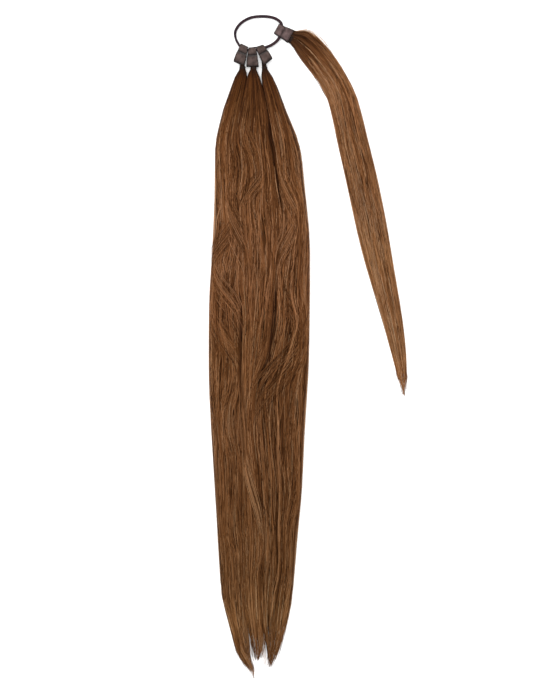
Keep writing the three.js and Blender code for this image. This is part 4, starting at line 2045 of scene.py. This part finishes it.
@dataclass
class ElasticRing:
    """The covered elastic: a cord that lies in an oval, joined to itself."""

    node: str = "elastic_ring"
    start_radius: float = 20.0 * MM
    stations: int = 72
    roundness: int = 4
    steps: int = 4

    CIRCLE_POINTS = 4

    def build(self, frame: dict, finish: ElasticFinish) -> None:
        """Draws the cord round its ring.

        Args:
            frame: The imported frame.
            finish: The finish of its cover.
        """
        middles, radii = self.route(CadCut(frame["nodes"][self.node]))
        bpy.ops.curve.primitive_bezier_circle_add(radius=self.start_radius)
        cord = bpy.context.active_object
        cord.name = RING_PIECE
        select_only(cord)
        bpy.ops.object.mode_set(mode="EDIT")
        bpy.ops.curve.select_all(action="SELECT")
        bpy.ops.curve.subdivide(number_cuts=self.stations // self.CIRCLE_POINTS - 1)
        points = cord.data.splines[0].bezier_points
        for point, middle, radius in zip(points, middles, radii):
            point.co = middle
            point.radius = radius / radii.max()
        bpy.ops.curve.handle_type_set(type="AUTOMATIC")
        bpy.ops.object.mode_set(mode="OBJECT")
        cord.data.dimensions = "3D"
        cord.data.bevel_depth = float(radii.max())
        cord.data.bevel_resolution = self.roundness
        cord.data.resolution_u = self.steps
        bpy.ops.object.convert(target="MESH")
        bpy.ops.object.shade_smooth()
        self.lay_map(cord)
        cord.data.materials.clear()
        cord.data.materials.append(finish.material())
        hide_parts(self.node)
        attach(cord, ROOT_BODY)
        LOG.info("%s: cord up to %.1f mm thick", self.node, 2.0 * radii.max() / MM)

    def route(self, cut: CadCut) -> tuple[np.ndarray, np.ndarray]:
        """Reads the cord's line and thickness from its solid.

        Args:
            cut: The ring's solid.

        Returns:
            The line's points and the cord's radius at each.
        """
        centre = (cut.corners.min(axis=0) + cut.corners.max(axis=0)) / 2.0
        middles, radii = [], []
        for angle in np.linspace(0.0, FULL_TURN, self.stations, endpoint=False):
            out = np.array([math.cos(angle), math.sin(angle), 0.0])
            section = cut.section(centre, np.cross(UP, out))
            section = section[(section - centre) @ out > 0.0]
            middle = (section.min(axis=0) + section.max(axis=0)) / 2.0
            middles.append(middle)
            radii.append(np.ptp(section[:, 2]) / 2.0)
        return np.array(middles), np.array(radii)

    @staticmethod
    def lay_map(cord: bpy.types.Object) -> None:
        """Lays a map on the cord: round it, then along it.

        Args:
            cord: The finished cord.
        """
        mesh = cord.data
        corners = corners_of(mesh)
        centre = (corners.min(axis=0) + corners.max(axis=0)) / 2.0
        normals = np.empty(len(mesh.vertices) * 3)
        mesh.vertices.foreach_get("normal", normals)
        normals = normals.reshape(-1, 3)
        out = (corners - centre) * (1.0, 1.0, 0.0)
        along = np.arctan2(out[:, 1], out[:, 0]) / FULL_TURN + 0.5
        out /= np.linalg.norm(out, axis=1, keepdims=True)
        round_cord = np.arctan2(normals[:, 2], np.sum(normals * out, axis=1)) / FULL_TURN + 0.5
        lay_corner_map(mesh, CORD_MAP, np.stack([round_cord, along], axis=-1))


@dataclass(frozen=True)
class SoftLight:
    """A soft square light that faces the hairpiece, with its place and size in metres."""

    name: str
    place: tuple[float, float, float]
    size: float
    watts: float

    def hang(self) -> None:
        """Hangs the light."""
        bpy.ops.object.light_add(type="AREA", location=self.place)
        light = bpy.context.active_object
        light.name = self.name
        light.data.shape = "SQUARE"
        light.data.size = self.size
        light.data.energy = self.watts
        ahead = -np.array(self.place) / np.linalg.norm(self.place)
        tilt = math.acos(-ahead[2])
        light.rotation_euler = (tilt, 0.0, math.atan2(ahead[0], -ahead[1]) + math.pi)


@dataclass
class Studio:
    """The pale table, the soft light and the camera straight above."""

    floor_size: float = 24.0
    floor_gap: float = 0.05 * MM
    lights: tuple[SoftLight, ...] = (
        SoftLight("key_light", (-0.5, 0.6, 1.4), size=1.5, watts=36.0),
        SoftLight("fill_light", (0.75, -0.5, 1.4), size=1.5, watts=16.0),
    )
    room_light: float = 0.4
    lens_mm: float = 85.0
    sensor_mm: float = 36.0
    aim: tuple[float, float] = (-27.4 * MM, -4.9 * MM)

    def build(self, floor_finish: FloorFinish) -> None:
        """Sets up the table, the lights and the camera.

        Args:
            floor_finish: The finish of the table.
        """
        self.lay_floor(floor_finish)
        for light in self.lights:
            light.hang()
        self.light_room()
        self.set_camera()

    def lay_floor(self, finish: FloorFinish) -> None:
        """Lays the table under the hairpiece.

        Args:
            finish: The finish of the table.
        """
        bpy.ops.mesh.primitive_grid_add(x_subdivisions=8, y_subdivisions=8, size=self.floor_size)
        floor = bpy.context.active_object
        floor.name = "table"
        edit_all(floor)
        bpy.ops.transform.translate(value=(0.0, 0.0, -self.floor_gap))
        bpy.ops.object.mode_set(mode="OBJECT")
        floor.data.materials.append(finish.material())

    def light_room(self) -> None:
        """Fills the room with even pale light and keeps colours as they are."""
        scene = bpy.context.scene
        scene.world = bpy.data.worlds.new("pale_room")
        scene.world.use_nodes = True
        background = scene.world.node_tree.nodes["Background"]
        background.inputs["Color"].default_value = rgba(WHITE)
        background.inputs["Strength"].default_value = self.room_light
        scene.view_settings.view_transform = "Standard"

    def set_camera(self) -> None:
        """Looks straight down, with the frame as tall as the picture at its scale."""
        tall = PICTURE_TALL * METRES_PER_PIXEL
        bpy.ops.object.camera_add(location=(*self.aim, tall * self.lens_mm / self.sensor_mm))
        camera = bpy.context.active_object
        camera.name = "camera_above"
        camera.rotation_euler = (0.0, 0.0, 0.0)
        camera.data.lens = self.lens_mm
        camera.data.sensor_width = self.sensor_mm
        camera.data.sensor_fit = "AUTO"
        bpy.context.scene.camera = camera


OUTER_SIDE = 0.34
PARTING_SIDE = 0.78
DOWN = -90.0
WRAP_TURN = 61.3

FALL_STRANDS = {
    StrandKind.LOCK: StrandPlan(count=380, knots=46, radius=0.3 * MM),
    StrandKind.EDGE: StrandPlan(count=90, knots=24, radius=0.24 * MM),
    StrandKind.UNDER: StrandPlan(count=60, knots=16, radius=0.28 * MM),
    StrandKind.STRAY: StrandPlan(count=24, knots=36, radius=0.14 * MM),
    StrandKind.MINGLE: StrandPlan(count=816, knots=12, radius=0.24 * MM),
    StrandKind.SWEEP: StrandPlan(count=36, knots=12, radius=0.22 * MM),
}
WRAP_STRANDS = {
    StrandKind.LOCK: StrandPlan(count=500, knots=38, radius=0.24 * MM),
    StrandKind.EDGE: StrandPlan(count=110, knots=32, radius=0.2 * MM),
    StrandKind.UNDER: StrandPlan(count=60, knots=16, radius=0.24 * MM),
    StrandKind.STRAY: StrandPlan(count=40, knots=30, radius=0.12 * MM),
    StrandKind.MINGLE: StrandPlan(count=600, knots=10, radius=0.2 * MM),
    StrandKind.FLYAWAY: StrandPlan(count=8, knots=16, radius=0.12 * MM),
}
WAVES = (
    Wave(across=-11.4, down=106.0, lean_deg=22.0, tall=15.0, wide=9.0),
    Wave(across=-4.1, down=143.0, lean_deg=-26.0, tall=18.0, wide=10.0),
    Wave(across=-23.3, down=175.0, lean_deg=25.0, tall=17.0, wide=7.0),
    Wave(across=-34.2, down=193.0, lean_deg=-28.0, tall=17.0, wide=8.0),
    Wave(across=-25.1, down=243.0, lean_deg=22.0, tall=18.0, wide=9.0),
    Wave(across=-30.6, down=278.0, lean_deg=28.0, tall=18.0, wide=9.0),
    Wave(across=-26.0, down=333.0, lean_deg=-15.0, tall=20.0, wide=9.0),
    Wave(across=-24.2, down=371.0, lean_deg=20.0, tall=16.0, wide=8.0),
    Wave(across=30.0, down=146.0, lean_deg=24.0, tall=20.0, wide=10.0),
    Wave(across=24.2, down=191.0, lean_deg=-20.0, tall=18.0, wide=9.0),
    Wave(across=28.8, down=251.0, lean_deg=18.0, tall=22.0, wide=10.0),
    Wave(across=30.0, down=302.0, lean_deg=-24.0, tall=24.0, wide=11.0),
    Wave(across=8.0, down=311.0, lean_deg=-22.0, tall=22.0, wide=11.0),
    Wave(across=-10.5, down=385.0, lean_deg=16.0, tall=20.0, wide=10.0),
    Wave(across=-2.3, down=433.0, lean_deg=22.0, tall=18.0, wide=8.0),
    Wave(across=30.6, down=437.0, lean_deg=-14.0, tall=20.0, wide=9.0),
    Wave(across=-25.1, down=462.0, lean_deg=20.0, tall=14.0, wide=7.0),
    Wave(across=-1.4, down=483.0, lean_deg=-20.0, tall=11.0, wide=6.0),
    Wave(across=18.7, down=503.0, lean_deg=-12.0, tall=20.0, wide=9.0),
)
LEFT_SWEEPS = (
    Sweep((-27.8, 157.0), (-11.4, 202.0), wide=4.0, tone=0.54),
    Sweep((-24.0, 178.0), (-38.8, 205.0), wide=4.0, tone=0.48),
    Sweep((-39.7, 225.0), (-16.9, 266.0), wide=4.0, tone=0.52),
    Sweep((-40.6, 260.0), (-20.5, 300.0), wide=5.0, tone=0.46),
    # A narrow dark lock along the valley between the left and middle bundles: painted shade.
    Sweep((-16.0, 240.0), (-16.6, 325.0), wide=0.6, tone=0.22),
    Sweep((-16.0, 557.0), (-4.6, 581.0), wide=2.0, tone=0.6, flare=-0.45, sink=2.0, run_on=0.5),
)
MIDDLE_SWEEPS = (
    Sweep((-10.5, 88.0), (-2.3, 115.0), wide=4.0, tone=0.52),
    Sweep((3.2, 130.0), (-11.4, 156.0), wide=5.0, tone=0.47),
    Sweep((-16.0, 314.0), (-11.4, 389.0), wide=2.2, tone=0.52),
    Sweep((-11.4, 389.0), (1.4, 449.0), wide=2.2, tone=0.64),
    # A narrow dark lock along the valley between the middle and right bundles: painted shade.
    Sweep((13.4, 244.0), (9.4, 310.0), wide=0.7, tone=0.22),
    Sweep((-11.0, 548.0), (-8.6, 572.0), wide=3.2, tone=0.7, flare=-0.2, thin=0.2),
    Sweep((2.4, 552.0), (6.0, 574.0), wide=3.4, tone=0.7, flare=-0.2, thin=0.2),
)
RIGHT_SWEEPS = (
    Sweep((20.0, 127.0), (37.0, 172.0), wide=3.2, tone=0.52),
    Sweep((31.5, 175.0), (19.6, 205.0), wide=4.0, tone=0.52),
    Sweep((40.6, 275.0), (-0.5, 339.0), wide=8.0, tone=0.42),
    # A narrow dark lock along the valley between the middle and right bundles: painted shade.
    Sweep((9.4, 84.0), (15.0, 116.0), wide=1.1, tone=0.14),
)
WRAP_FLYAWAYS = (Flyaway(start=4.0, end=40.0, reach=2.9), Flyaway(start=3.0, end=28.0, reach=2.0))
OUTER = Parting(((0.0, 0.0), (1.0, 0.0)), outer=True)
LEFT_PARTING = Parting(
    (
        (0.03, 0.0), (0.12, 0.05), (0.2, 0.2), (0.34, 0.2), (0.4, -0.06),
        (0.55, -0.06), (0.62, 0.2), (0.9, 0.2), (0.95, 0.0),
    )
)
RIGHT_PARTING = Parting(
    (
        (0.08, 0.0), (0.13, -0.08), (0.25, -0.06), (0.32, 0.15), (0.37, -0.04),
        (0.44, -0.1), (0.53, -0.08), (0.6, 0.15), (0.92, 0.15), (0.955, 0.0),
    )
)
BROWN_TAPE = SuedeFinish()
PALE_TAPE = SuedeFinish(
    "pale_brown_suede", shade=(0.066, 0.043, 0.041), tint=(0.132, 0.088, 0.085)
)
BROWN_HAIR = StrandFinish()
PALE_HAIR = StrandFinish(
    "pale_brown_hair_strands",
    tones=(
        (0.0, (0.049, 0.015, 0.005)),
        (0.3, (0.169, 0.063, 0.018)),
        (0.65, (0.314, 0.132, 0.048)),
        (0.9, (0.480, 0.247, 0.115)),
        (1.0, (0.680, 0.405, 0.220)),
    ),
    # Painted shade at the root and painted highlights down the fall, one of them at the bend.
    fall=(
        (0.0, (0.08, 0.07, 0.06)),
        (0.03, (0.21, 0.19, 0.17)),
        (0.08, (0.40, 0.36, 0.33)),
        (0.13, (0.56, 0.53, 0.51)),
        (0.2, (0.82, 0.85, 0.92)),
        (0.25, (0.79, 0.80, 0.86)),
        (0.31, (0.69, 0.68, 0.69)),
        (0.46, (0.67, 0.67, 0.68)),
        (0.55, (0.74, 0.78, 0.87)),
        (0.64, (0.87, 0.94, 1.00)),
        (0.74, (0.77, 0.80, 0.85)),
        (0.79, (0.69, 0.72, 0.76)),
        (0.89, (0.75, 0.82, 0.90)),
        (0.95, WHITE),
    ),
)

BUNDLES = (
    HairBundle(
        "hair_left", heading_deg=DOWN, follows=False, sides=(OUTER_SIDE, PARTING_SIDE),
        partings=(OUTER, LEFT_PARTING), locks=18, seed=11, plans=FALL_STRANDS,
        finish=BROWN_HAIR, sweeps=LEFT_SWEEPS,
    ),
    HairBundle(
        "hair_middle", heading_deg=DOWN, follows=False, sides=(PARTING_SIDE, PARTING_SIDE),
        partings=(LEFT_PARTING, RIGHT_PARTING), locks=17, seed=23, plans=FALL_STRANDS,
        finish=BROWN_HAIR, sweeps=MIDDLE_SWEEPS,
    ),
    HairBundle(
        "hair_right", heading_deg=DOWN, follows=False, sides=(PARTING_SIDE, OUTER_SIDE),
        partings=(RIGHT_PARTING, OUTER), locks=20, seed=37, plans=FALL_STRANDS,
        finish=BROWN_HAIR, sweeps=RIGHT_SWEEPS, raggedness=0.36,
    ),
    HairBundle(
        "hair_wrap", heading_deg=DOWN + WRAP_TURN, follows=True, sides=(OUTER_SIDE, OUTER_SIDE),
        partings=(OUTER, OUTER), locks=14, seed=53, plans=WRAP_STRANDS, finish=PALE_HAIR,
        flyaways=WRAP_FLYAWAYS, raggedness=0.9,
    ),
)
TABS = (
    FoldedTab("tab_left", -17.0, BROWN_TAPE, fold_skew=-0.14, end_skew=-0.1),
    FoldedTab("tab_middle", 1.7, BROWN_TAPE, fold_skew=0.1, end_skew=-0.03),
    FoldedTab("tab_right", 29.0, BROWN_TAPE, fold_skew=-0.2, end_skew=0.2),
    FoldedTab(
        "tab_wrap", WRAP_TURN, PALE_TAPE, crease_drop=7.0 * MM, crease_height=4.9 * MM,
        stitch_drop=14.2 * MM, stitches=8,
    ),
)
BINDINGS = (
    RootBinding("root_binding_left", 0.0, seed=3),
    RootBinding("root_binding_middle", 0.0, seed=5),
    RootBinding("root_binding_right", 0.0, seed=7),
    RootBinding("root_binding_wrap", WRAP_TURN, seed=9),
)


def main() -> None:
    """Builds the dressed hairpiece in its studio."""
    logging.basicConfig(level=logging.INFO, format="%(name)s: %(message)s")
    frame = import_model()
    Studio().build(FloorFinish())
    thread = ThreadFinish()
    ElasticRing().build(frame, ElasticFinish())
    for tab in TABS:
        tab.build(frame, thread)
    for binding in BINDINGS:
        binding.build(frame, thread)
    for bundle in BUNDLES:
        bundle.read_form(frame)
    ring_lo, ring_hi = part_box("elastic_ring")
    flow = Flow(WAVES, tuple((np.array(ring_lo) + np.array(ring_hi))[:2] / 2.0))
    falling = [bundle for bundle in BUNDLES if not bundle.follows]
    for bundle in falling:
        bundle.flow = flow
        bundle.neighbours = [other.form for other in falling if other is not bundle]
    for bundle in BUNDLES:
        bundle.build(frame, CoreFinish())


if __name__ == "__main__":
    main()
